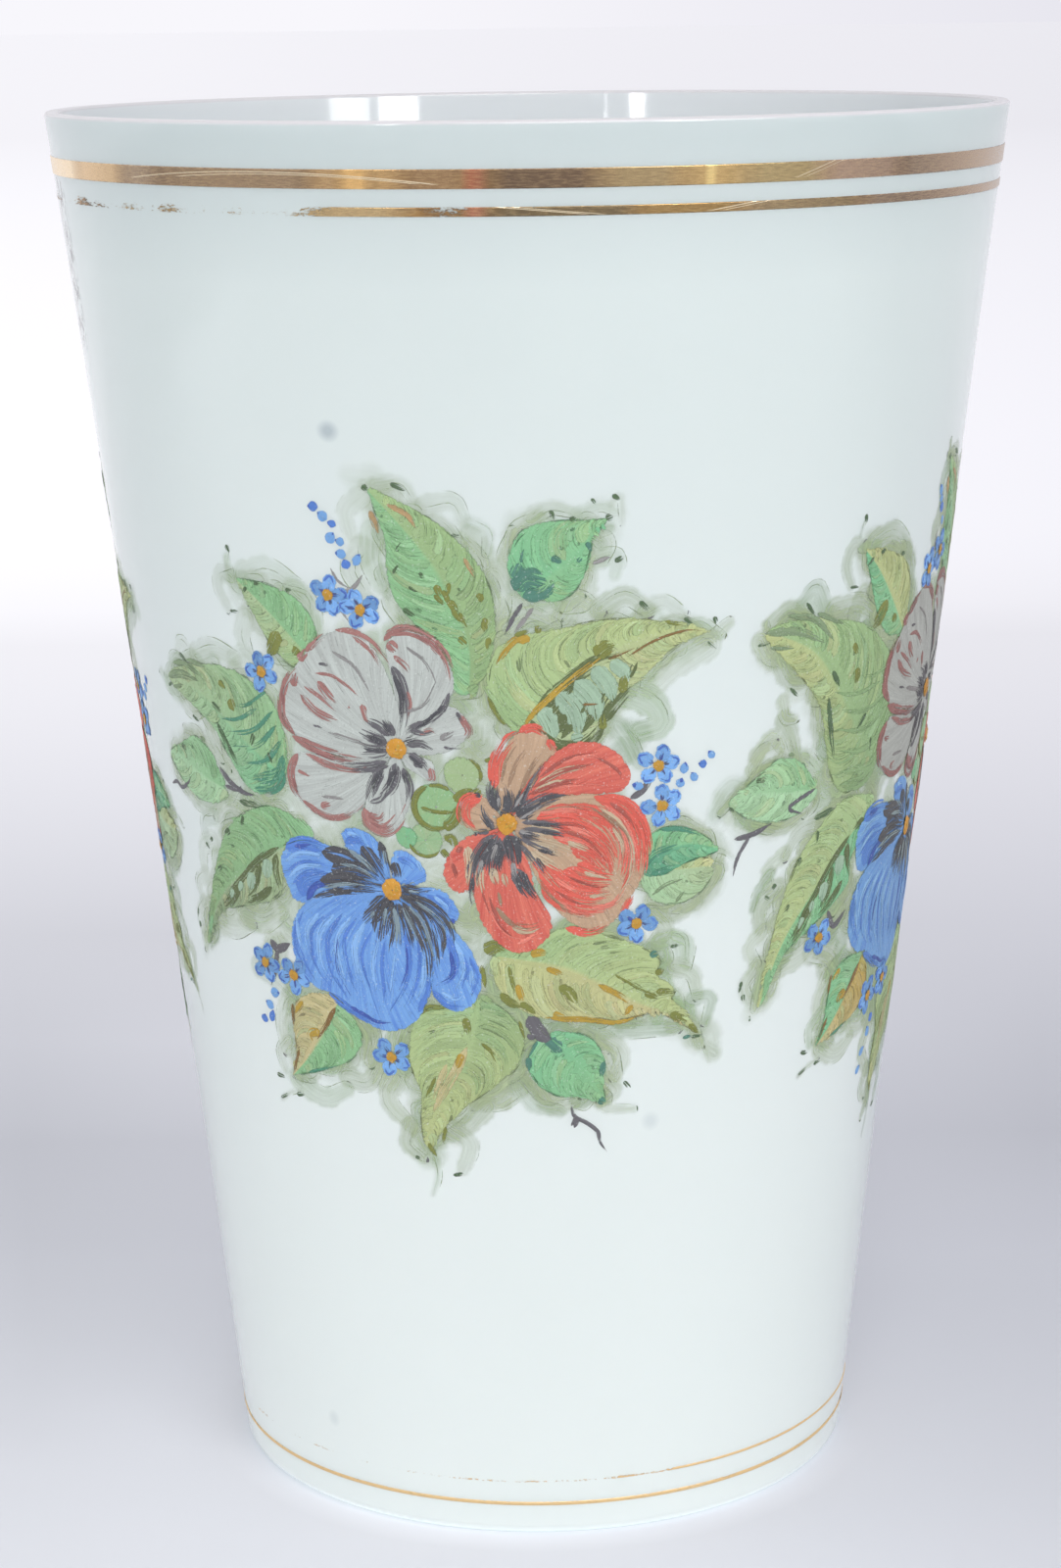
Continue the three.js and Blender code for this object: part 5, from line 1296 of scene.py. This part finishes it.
def flower(coat, colour, rng):
    heart, light, dark, petals = FLOWERS[colour]
    for curl, outline, *own in petals:
        span = float(np.ptp(np.array(outline), axis=0).max())
        tones = (PAINTS[own[0]] * 1.12, PAINTS[own[0]] * 0.84) if own else (PAINTS[light], PAINTS[dark])
        rays, rings = int(np.clip(span * 1.6, 16, 52)), int(np.clip(span * 0.6, 8, 20))
        coat.fan(heart, outline, *tones, rays, rings, PETAL_FILM, curl)

    def by_hand(path):
        return np.array(path, float) + rng.uniform(-0.25, 0.25, 2)

    lay_touches(coat, FLOWER_TOUCHES[colour], by_hand, 0.75)
    dab(coat, heart, 2.3, "honey", "ochre", HEART_FILM, rng)
    for _ in range(5):
        spot = np.array(heart) + rng.uniform(-1.2, 1.2, 2)
        path = [spot, spot + rng.uniform(-0.9, 0.9, 2)]
        coat.stroke(path, 0.7, PAINTS["honey"], PAINTS["gold"], thickness=0.08, steps=6)


def bow(x, y, radius, start, end):
    """Points round a middle, from one angle to another."""
    return [(x + radius * math.cos(a), y + radius * math.sin(a)) for a in np.linspace(start, end, 9)]


def dab(coat, middle, radius, light, dark, thickness, rng):
    ring = [np.array(middle) + radius * rng.uniform(0.9, 1.1) * np.array((math.cos(a), math.sin(a)))
            for a in np.linspace(0, 2 * math.pi, 10)[:-1]]
    coat.fan(middle, ring, PAINTS[light], PAINTS[dark], 18, 5, thickness, closed=True)


def forget_me_not(coat, middle, rng):
    first = rng.uniform(0, 2 * math.pi)
    for k in range(5):
        a = first + k * 2 * math.pi / 5 + rng.uniform(-0.2, 0.2)
        out = np.array((math.cos(a), math.sin(a)))
        aside = np.array((-out[1], out[0]))
        centre = np.array(middle) + out * rng.uniform(2.4, 3.0)
        ring = [centre + out * 1.9 * math.cos(b) + aside * 1.7 * math.sin(b)
                for b in np.linspace(0, 2 * math.pi, 9)[:-1]]
        tone = PAINTS["sky"] * rng.uniform(0.8, 1.25)
        coat.fan(centre, ring, tone, tone * 0.78, 14, 4, 0.1, closed=True)
        vein = [centre - out * 1.8, centre + out * rng.uniform(-0.4, 0.6)]
        coat.stroke(vein, 0.8, PAINTS["navy"], PAINTS["ink"], dry=0.9, steps=6)
        rim = [centre + aside * 1.3, centre + out * 1.5, centre - aside * 1.2]
        coat.stroke(rim, 0.5, PAINTS["cobalt"], PAINTS["navy"], dry=0.6, steps=8)
    dab(coat, middle, 1.3, "ochre", "gold", 0.25, rng)


def bud(coat, middle, rng):
    a = rng.uniform(0, math.pi)
    along = np.array((math.cos(a), math.sin(a))) * rng.uniform(0.9, 1.5)
    middle = np.array(middle)
    tone = PAINTS["cobalt"] if rng.random() < 0.4 else PAINTS["sky"]
    width = rng.uniform(1.6, 2.3)
    path = [middle - along, middle, middle + along]
    coat.stroke(path, width, tone, tone * 0.8, thickness=0.1, steps=8, tip=0.4, tail=0.3)
    coat.stroke([middle, middle + along], 0.9, PAINTS["navy"], PAINTS["navy"], dry=0.4, steps=6)


def green_buds(coat, rng):
    """Green buds and pale discs that fill the gap between the three flowers."""
    for x, y, radius, light, dark in ((16, 16.5, 3.8, "sage", "olive mint"), (7.6, 2.5, 3.6, "sage", "mint"),
                                      (3.5, 3, 2.4, "mint", "jade"), (10.2, 9.6, 4.9, "olive mint", "mint")):
        dab(coat, (x, y), radius, light, dark, 0.1, rng)
    olive = PAINTS["olive"]
    for width, path in (
            (1.5, bow(10.2, 9.6, 4.6, 1.9, 5.2)), (2.4, bow(10.2, 9.6, 4.4, 5.0, 6.4)),
            (0.9, bow(10.2, 9.6, 4.6, 0.9, 1.9)), (0.9, [(7, 9.4), (10, 8.6), (14, 8.6)]),
            (2.0, [(14, 11), (16, 12.6), (18.6, 12.8)]), (1.4, [(18, 12.4), (19.4, 13.6)]),
            (0.8, bow(7.6, 2.5, 3.5, 3.4, 5.6)), (0.8, bow(16, 16.5, 3.7, -0.4, 1.2)),
            (1.8, [(11.6, 2.6), (13, 3.2), (13.6, 1.2)]), (1.4, [(10.8, 0.6), (12, -1)]),
            (0.9, [(22, 20), (20.6, 19.4)])):
        coat.stroke(path, width, olive * 1.06, olive * 0.82, dry=0.45, thickness=0.06, steps=16, tip=0.2)


class Wash:
    """The thin sage ground that the bouquet is painted on, laid in hooked, overlapping touches."""
    pitch = 0.48
    joints = 9
    tones = ("ground", "pale ground", "olive mint", "ground", "fern", "pale ground", "ground")

    def __init__(self, leaves, rng, thick, lean, loops):
        self.rng = rng
        self.thick, self.lean = thick, lean
        reach = Relief.reach - 2
        line = np.arange(-reach, reach, self.pitch)
        self.x, self.y = np.meshgrid(line, line, indexing="ij")
        self.cover = np.zeros_like(self.x)
        self.tone = np.ones((*self.x.shape, 3)) * PAINTS["ground"]
        self.across, self.along = np.zeros_like(self.x), np.zeros_like(self.x)
        self.laid = []
        self.lay_middle()
        for leaf in leaves.values():
            self.lay_hooks(leaf, (0.0, 5.0), (0.0, 2.2), (2.8, 4.2), (0.09, 0.18), 1.6)
        self.laid = []
        for name, leaf in leaves.items():
            self.lay_hooks(leaf, (0.04, 4.4), (0.0, 1.4), (1.6, 2.3), (0.24, 0.42), CRISP)
            for radius, strength, *path in LOOPS[name]:
                way = leaf.moved(path) + rng.uniform(-0.4, 0.4, 2)
                self.touch(way, 1.25 * radius, 0.85 * strength * rng.uniform(0.85, 1.1))
        for radius, strength, *path in loops:
            self.touch(path, radius, strength)

    def lay_middle(self):
        """Broad, faint touches all over the middle, which the flowers cover."""
        rng, apart = self.rng, 6
        for x in np.arange(-44, 56, apart):
            for y in np.arange(-46, 60, apart):
                if ((x - 4) / 46) ** 2 + (y / 50) ** 2 < 1:
                    start = np.array((x, y)) + rng.uniform(-2, 2, 2)
                    way = rng.uniform(-1, 1, 2) * 5
                    last = start + way + rng.uniform(-3, 3, 2)
                    self.touch([start, start + way, last], rng.uniform(3, 4.6), 0.3, 1.2)

    def lay_hooks(self, leaf, places, reach, radius, strength, soft):
        """Hooked touches along both margins of a leaf: where they start and how far they are apart,
        then the least and most of their reach, radius and strength."""
        rng = self.rng
        first, apart = places
        for sign in (-1, 1):
            for share in np.arange(first, 1.0, apart / leaf.length):
                drawn = [rng.uniform(*between) for between in (reach, radius, strength)]
                self.hook(leaf, share, sign, *drawn, soft)

    def hook(self, leaf, share, sign, reach, radius, strength, soft):
        """A touch that leaves the margin of a leaf, turns along it and comes back."""
        rng = self.rng
        edge, inner = leaf.at(share, float(sign)), leaf.at(share, 0.0)
        ahead = leaf.at(min(share + 0.06, 1), float(sign)) - leaf.at(max(share - 0.06, 0), float(sign))
        ahead /= max(np.linalg.norm(ahead), 1e-6)
        out = np.array((-ahead[1], ahead[0]))
        out = out if out @ (edge - inner) > 0 else -out
        forward = ahead * rng.choice((-1, 1), p=(0.25, 0.75))
        first = edge - out * 1.5 - forward * rng.uniform(0, 2)
        bend = edge + out * reach + forward * rng.uniform(0, 1.5)
        last = bend + forward * rng.uniform(2.5, 6) - out * rng.uniform(0.2, 3)
        self.touch([first, bend, last], radius, strength, soft)

    def touch(self, path, radius, strength, soft=CRISP):
        """One touch of thin paint, thicker along one rim, mixed into what already lies there."""
        rng = self.rng
        line = smooth_path(path, self.joints)
        self.laid.append((line, radius))
        middle_x, middle_y = line[self.joints // 2]
        strength *= self.thick * (1 + self.lean * np.clip((middle_x - 0.8 * middle_y) / 60, -1, 1))
        low, high = line.min(0) - radius - 1, line.max(0) + radius + 1
        near = np.where((self.x > low[0]) & (self.x < high[0]) & (self.y > low[1]) & (self.y < high[1]))
        points = np.stack((self.x[near], self.y[near]), 1)
        start, step = line[:-1], np.diff(line, axis=0)
        offset = points[:, None] - start
        share = np.clip((offset * step).sum(2) / np.maximum((step ** 2).sum(1), 1e-9), 0, 1)
        far = np.sqrt(((offset - share[..., None] * step) ** 2).sum(2))
        best = far.argmin(1)
        rows = np.arange(len(points))
        r, run = far[rows, best], best + share[rows, best]
        cross = step[best][:, 0] * offset[rows, best][:, 1] - step[best][:, 1] * offset[rows, best][:, 0]
        wobble = 0.06 * np.sin(run * 1.9 + rng.uniform(0, 6)) + 0.05 * np.sin(run * 4.1 + rng.uniform(0, 6))
        width = radius * (1 + wobble) * np.clip(1.05 - 0.4 * run / 8, 0.4, 1)
        full = np.clip(r / np.maximum(width, 1e-6), 0, 1)
        broken = 0.5 + 0.5 * np.sin(run * rng.uniform(1.5, 3) + rng.uniform(0, 6))
        heavy = np.where(np.sign(cross) == rng.choice((-1, 1)), 1, 0.4)
        rim = np.clip((full - 0.68) / 0.32, 0, 1) ** 2 * heavy * broken
        body = np.clip((width - r) / soft, 0, 1)
        share = np.clip(body * strength * (0.8 + 1.5 * rim), 0, 0.85)
        cover = 1 - (1 - self.cover[near]) * (1 - share)
        tone = PAINTS[self.tones[rng.integers(0, len(self.tones))]] * (1 - 0.4 * rim[:, None])
        weight = (share / np.maximum(cover, 1e-6))[:, None]
        self.tone[near] = self.tone[near] * (1 - weight) + tone * weight
        self.cover[near] = cover
        inside = body > 0.25
        at = (near[0][inside], near[1][inside])
        self.across[at] = (np.sign(cross) * r)[inside] + rng.uniform(0, 60)
        self.along[at] = (run * np.linalg.norm(step, axis=1).mean())[inside]

    def object(self, name, turn, relief):
        seen = self.cover > 0.02
        cell = seen[:-1, :-1] | seen[1:, :-1] | seen[1:, 1:] | seen[:-1, 1:]
        kept = np.zeros_like(seen)
        for a in (0, 1):
            for b in (0, 1):
                kept[a:a + cell.shape[0], b:b + cell.shape[1]] |= cell
        ids = -np.ones(self.x.shape, int)
        ids[kept] = np.arange(kept.sum())
        corner = [ids[:-1, :-1][cell], ids[1:, :-1][cell], ids[1:, 1:][cell], ids[:-1, 1:][cell]]
        coat = Coat(relief)
        lift = SEAT + 0.02 * self.cover[kept]
        coat.parts.append(dict(points=np.column_stack((self.x[kept], self.y[kept], lift)),
                               faces=np.stack(corner, 1),
                               brush=np.stack((self.across[kept], self.along[kept]), 1),
                               light=self.tone[kept] * 1.06, dark=self.tone[kept] * 0.86,
                               edge=self.cover[kept], dry=np.zeros(len(lift))))
        return coat.object(name, turn)

    def hairs(self, coat):
        """The tracks of single hairs in the ground, and dark touches where the brush lifted off."""
        rng = self.rng
        for line, radius in self.laid:
            normals = side_normals(line)
            ahead = np.stack((normals[:, 1], -normals[:, 0]), 1)
            width = radius * np.clip(1.05 - 0.05 * np.arange(self.joints), 0.4, 1)[:, None] * 0.94
            sign = rng.choice((-1, 1))
            start = rng.integers(2, 5)
            turns = np.radians((25, 55, rng.uniform(70, 120)))[:, None]
            cap = line[-1] + width[-1] * (normals[-1] * sign * np.cos(turns) + ahead[-1] * np.sin(turns))
            rim = np.vstack(((line + normals * width * sign)[start:], cap))
            tone = PAINTS["sage"] * rng.uniform(0.55, 0.95)
            coat.stroke(rim, rng.uniform(0.2, 0.34), tone, tone * 0.85, dry=1.0, thickness=WASH_HAIR_FILM,
                        steps=14, tip=0.3, tail=0.5)
            if rng.random() < 0.6:
                inner = (line + normals * width * rng.uniform(-0.7, 0.7))[rng.integers(0, 3):]
                tone = PAINTS["sage"] * rng.uniform(0.75, 1.0)
                coat.stroke(inner, rng.uniform(0.16, 0.26), tone, tone * 0.9, dry=1.0,
                            thickness=WASH_HAIR_FILM, steps=9, tip=0.4, tail=0.4)
            if rng.random() < 0.3:
                tone = PAINTS[("forest", "moss", "smoke")[rng.integers(0, 3)]]
                coat.stroke(cap, rng.uniform(0.35, 0.7), tone, tone * 0.85, dry=0.9, thickness=HAIR_FILM,
                            steps=7, tail=0.5)


def sage_wash():
    """The ground's thin paint, through which the glass shows."""
    f = Finish("sage_wash")
    across, along = f.brush_tracks()
    streak = f.streaks(across, along, 1.5, 0.09, detail=3, roughness=0.6)
    mixed = f.span(streak, 0.36, 0.64)
    f.set("Base Color", f.blend(mixed, f.attribute("dark", "Color"), f.attribute("light", "Color")))
    cover = f.attribute("edge")
    f.set("Alpha", f.math("MULTIPLY", cover, f.span(streak, 0.32, 0.62, 0.6, 1.15), clamp=True))
    f.set("Roughness", 0.4)
    return f.material


def paint_bouquet(side_name, turn, leaves, sprigs, buds, twigs, seed):
    """One bouquet: its ground, its leaves and stems, and its flowers, in the order they are painted."""
    rng = np.random.default_rng(seed)
    relief = Relief()
    *mix, dulled, swapped = MIXES[side_name]
    wash = Wash(leaves, rng, *mix)
    pieces = {"ground": wash.object(side_name + "_ground", turn, relief)}
    foliage = Coat(relief)
    wash.hairs(foliage)
    for name, leaf in leaves.items():
        other = swapped.get(name, {})
        touches = [(other.get(tone, tone), *strokes) for tone, *strokes in LEAF_TOUCHES[name]]
        lay_leaf(foliage, leaf, touches, rng)
    green_buds(foliage, rng)
    lay_touches(foliage, twigs, np.array, WET)
    pieces["foliage"] = foliage.object(side_name + "_leaves", turn)
    for colour in ("mauve", "red", "blue"):
        coat = Coat(relief)
        flower(coat, colour, rng)
        for part in coat.parts:
            for key in ("light", "dark"):
                part[key] = part[key] * dulled.get(colour, 1.0)
        pieces[colour + "_flower"] = coat.object(f"{side_name}_{colour}_petals", turn)
    tiny = Coat(relief)
    for middle in sprigs:
        forget_me_not(tiny, middle, rng)
    for middle in buds:
        bud(tiny, middle, rng)
    pieces["sprigs"] = tiny.object(side_name + "_forget_me_nots", turn)
    return pieces


def enamel_the_vase():
    coats = {
        "ground": (sage_wash(), "foliage_enamel"),
        "foliage": (enamel("leaf_enamel", 2.0, 1.0, 3.5), "foliage_enamel"),
        "mauve_flower": (enamel("mauve_enamel", 1.6), "mauve_enamel"),
        "red_flower": (enamel("red_enamel", 1.7), "red_enamel"),
        "blue_flower": (enamel("blue_enamel", 2.3, 1.2), "blue_enamel"),
        "sprigs": (enamel("forget_me_not_enamel", 2.2), "blue_enamel"),
    }
    front = {name: Leaf(*plan) for name, plan in LEAVES.items()}
    side_on = {name: Leaf(SIDE_TONES.get(name, LEAVES[name][0]), *LEAVES[name][1:], *ends)
               for name, ends in SIDE_LEAVES.items()}
    plans = {"front": (0, "back", front, FRONT_SPRIGS, FRONT_BUDS, FRONT_TWIGS, 11),
             "right": (1, "left", side_on, SIDE_SPRIGS, SIDE_BUDS, SIDE_TWIGS, 23)}
    for side_name, (quarter, opposite, *plan) in plans.items():
        turn = FRONT_TURN + quarter * math.pi / 2
        for part, piece in paint_bouquet(side_name, turn, *plan).items():
            mesh = piece.data.copy()
            mesh.transform(Matrix.Rotation(math.pi, 4, "Z"))
            copy = bpy.data.objects.new(piece.name.replace(side_name, opposite), mesh)
            bpy.context.scene.collection.objects.link(copy)
            finish, slot = coats[part]
            for name, made in ((side_name, piece), (opposite, copy)):
                node = f"{name}_{part}"
                finish_piece(made, [node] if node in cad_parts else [], slot, finish)


# Studio, its tones as sRGB and its places in metres

# The table's tones paint the studio's light and shade, and its glow carries them; unlit is the dark base
# colour of the far table under that glow.
STUDIO = tints(front=(226, 227, 232), beside_foot=(214, 215, 222), back=(252, 251, 255),
               right=(150, 150, 166), unlit=(90, 90, 96), room=(248, 247, 252), room_right=(232, 231, 239))
BACK_GLOW = 0.9
ROOM_LIGHT = (0.95, 0.96, 1.0, 1)
ROOM_STRENGTH = 0.62
LAMP_AIM = (0, 0, 0.15)
TABLE_SIZE = 40
TABLE_MIDDLE = (0, 18, 0)
NEAREST_SEEN = 0.01


def backdrop_tone(f, aside, depth):
    """Painted light and shade on the table: lavender grey round the foot, near white behind, and a little
    darker to the right.
    """
    near = f.blend(f.span(depth, -0.1, 0.12), STUDIO["front"], STUDIO["beside_foot"])
    far = f.blend(f.span(depth, 0.2, 1.1), near, STUDIO["back"])
    return f.blend(f.span(aside, -0.12, 0.17, 0.0, 0.17), far, STUDIO["right"])


def painted_shadow_light(f, aside, depth):
    """Painted light glowing in the vase's shadow on the table, most of it on the left."""
    rise = f.span(depth, -0.01, 0.22, 0.25, 1.0)
    left = f.minus(rise, f.span(aside, -0.155, -0.1, 0.55, 0.0))
    left = f.times(left, f.times(f.span(depth, -0.03, 0.02, 0.0, 0.2), f.span(aside, -0.05, 0.0, 1.0, 0.0)))
    right = f.times(f.span(aside, 0.105, 0.15, 1.0, 0.0), f.span(aside, 0.0, 0.05, 0.0, 1.0))
    right = f.times(right, f.span(depth, 0.09, 0.2, 0.0, 0.07))
    return f.times(f.plus(left, right), f.span(depth, 0.3, 0.43, 1.0, 0.0))


def pale_table():
    """The table, which glows towards the back so that it fades into a white room, and has painted light
    glowing in a ring round the front of the foot and in the vase's shadow.
    """
    f = Finish("pale_table")
    x, depth, _ = f.parts(f.place())
    aside = f.math("DIVIDE", x, f.plus(depth, CAMERA_DISTANCE))
    tone = backdrop_tone(f, aside, depth)
    f.set("Base Color", f.blend(f.span(depth, 0.1, 1.0), tone, STUDIO["unlit"]))
    f.set("Emission Color", tone)
    # Painted light: a glowing ring on the table round the front of the foot.
    painted_foot_ring = f.span(f.from_axis(x, depth), 0.067, 0.077, 0.16, 0.0)
    painted_foot_ring = f.times(painted_foot_ring, f.span(depth, -0.055, -0.01, 1.0, 0.0))
    near = f.span(depth, 0.2, 1.4, 1.0, 0.0)
    glow = f.math("MULTIPLY_ADD", f.times(near, near), -BACK_GLOW, BACK_GLOW)
    glow = f.times(glow, f.span(depth, 1.8, 8, 1.0, 0.85))
    glow = f.plus(glow, painted_shadow_light(f, aside, depth))
    f.set("Emission Strength", f.plus(glow, painted_foot_ring))
    f.set("Roughness", 0.6)
    f.set("Specular IOR Level", 0.2)
    return f.material


def set_studio():
    deselect()
    bpy.ops.mesh.primitive_plane_add(size=TABLE_SIZE, location=TABLE_MIDDLE)
    floor = bpy.context.object
    floor.name = "floor"
    bpy.ops.object.transform_apply(location=True)
    floor.data.materials.append(pale_table())
    set_world()
    for name, place, size, energy, lights, mirrored in LAMPS:
        lamp = softbox(name, place, size, energy)
        lamp.visible_glossy = mirrored
        lamp.visible_diffuse = lights


def set_world():
    """Near white where the camera and the reflections see it, and a dimmer room to light the vase."""
    world = bpy.data.worlds.new("studio")
    bpy.context.scene.world = world
    world.use_nodes = True
    w = Nodes(world.node_tree)
    room = w.tree.nodes["Background"]
    room.inputs["Color"].default_value = ROOM_LIGHT
    room.inputs["Strength"].default_value = ROOM_STRENGTH
    seen = w.node("ShaderNodeBackground")
    aside = w.span(w.parts(w.node("ShaderNodeTexCoord").outputs["Generated"])[0], -0.05, 0.15)
    w.put(seen.inputs["Color"], w.blend(aside, STUDIO["room"], STUDIO["room_right"]))
    rays = w.node("ShaderNodeLightPath").outputs
    clear = w.math("MAXIMUM", rays["Is Camera Ray"], rays["Is Glossy Ray"])
    clear = w.math("MAXIMUM", clear, rays["Is Transmission Ray"])
    mixed = w.feed(w.node("ShaderNodeMixShader"), (clear, room.outputs[0], seen.outputs[0]))
    w.join(mixed, w.tree.nodes["World Output"].inputs[0])


# Lamps: name, place, size and power, then whether each lights matt surfaces and is mirrored in shiny ones
LAMPS = (
    ("front_softbox", (0.4, -1.5, 1.4), (1.4, 1.0), 22.2, True, True),
    ("left_softbox", (-1.0, -0.1, 0.35), (0.5, 0.9), 2.2, True, False),
    ("right_softbox", (1.0, -0.3, 0.35), (0.3, 0.9), 0.6, True, False),
    ("right_window", (0.69, -0.95, 0.62), (0.22, 0.3), 4, False, True),
    ("far_window", (1.12, -0.95, 0.62), (0.3, 0.3), 2.4, False, True),
    ("left_window", (-0.71, -1.2, 0.66), (0.085, 0.3), 2.6, False, True),
    ("left_gap", (-0.48, -1.2, 0.66), (0.006, 0.3), 0.12, False, True),
)


def softbox(name, place, size, energy):
    light = bpy.data.lights.new(name, "AREA")
    light.shape = "RECTANGLE"
    light.size, light.size_y = size
    light.energy = energy
    lamp = bpy.data.objects.new(name, light)
    lamp.location = place
    aim = Vector(LAMP_AIM) - lamp.location
    lamp.rotation_euler = aim.to_track_quat("-Z", "Y").to_euler()
    bpy.context.scene.collection.objects.link(lamp)
    return lamp


def set_camera():
    pitch, roll, yaw = CAMERA_PITCH, CAMERA_ROLL, CAMERA_YAW
    level = np.array((math.sin(yaw), math.cos(yaw), 0))
    right = np.array((math.cos(yaw), -math.sin(yaw), 0))
    up = np.array((0, 0, 1))
    ahead = level * math.cos(pitch) - up * math.sin(pitch)
    above = up * math.cos(pitch) + level * math.sin(pitch)
    x_axis = right * math.cos(roll) + above * math.sin(roll)
    y_axis = above * math.cos(roll) - right * math.sin(roll)
    camera = bpy.data.objects.new("camera", bpy.data.cameras.new("camera"))
    camera.data.lens = CAMERA_LENS
    camera.data.sensor_width = FILM_WIDTH
    camera.data.clip_start = NEAREST_SEEN
    turn = Matrix((x_axis, y_axis, -ahead)).transposed().to_4x4()
    camera.matrix_world = Matrix.Translation((0, -CAMERA_DISTANCE, CAMERA_HEIGHT)) @ turn
    bpy.context.scene.collection.objects.link(camera)
    bpy.context.scene.camera = camera


bpy.context.scene.view_settings.view_transform = "Standard"
set_camera()
set_studio()
blow_glass()
for gilt_node in ("rim_gilt_wide", "rim_gilt_narrow", "foot_gilt_upper", "foot_gilt_lower"):
    gild_line(gilt_node)
enamel_the_vase()
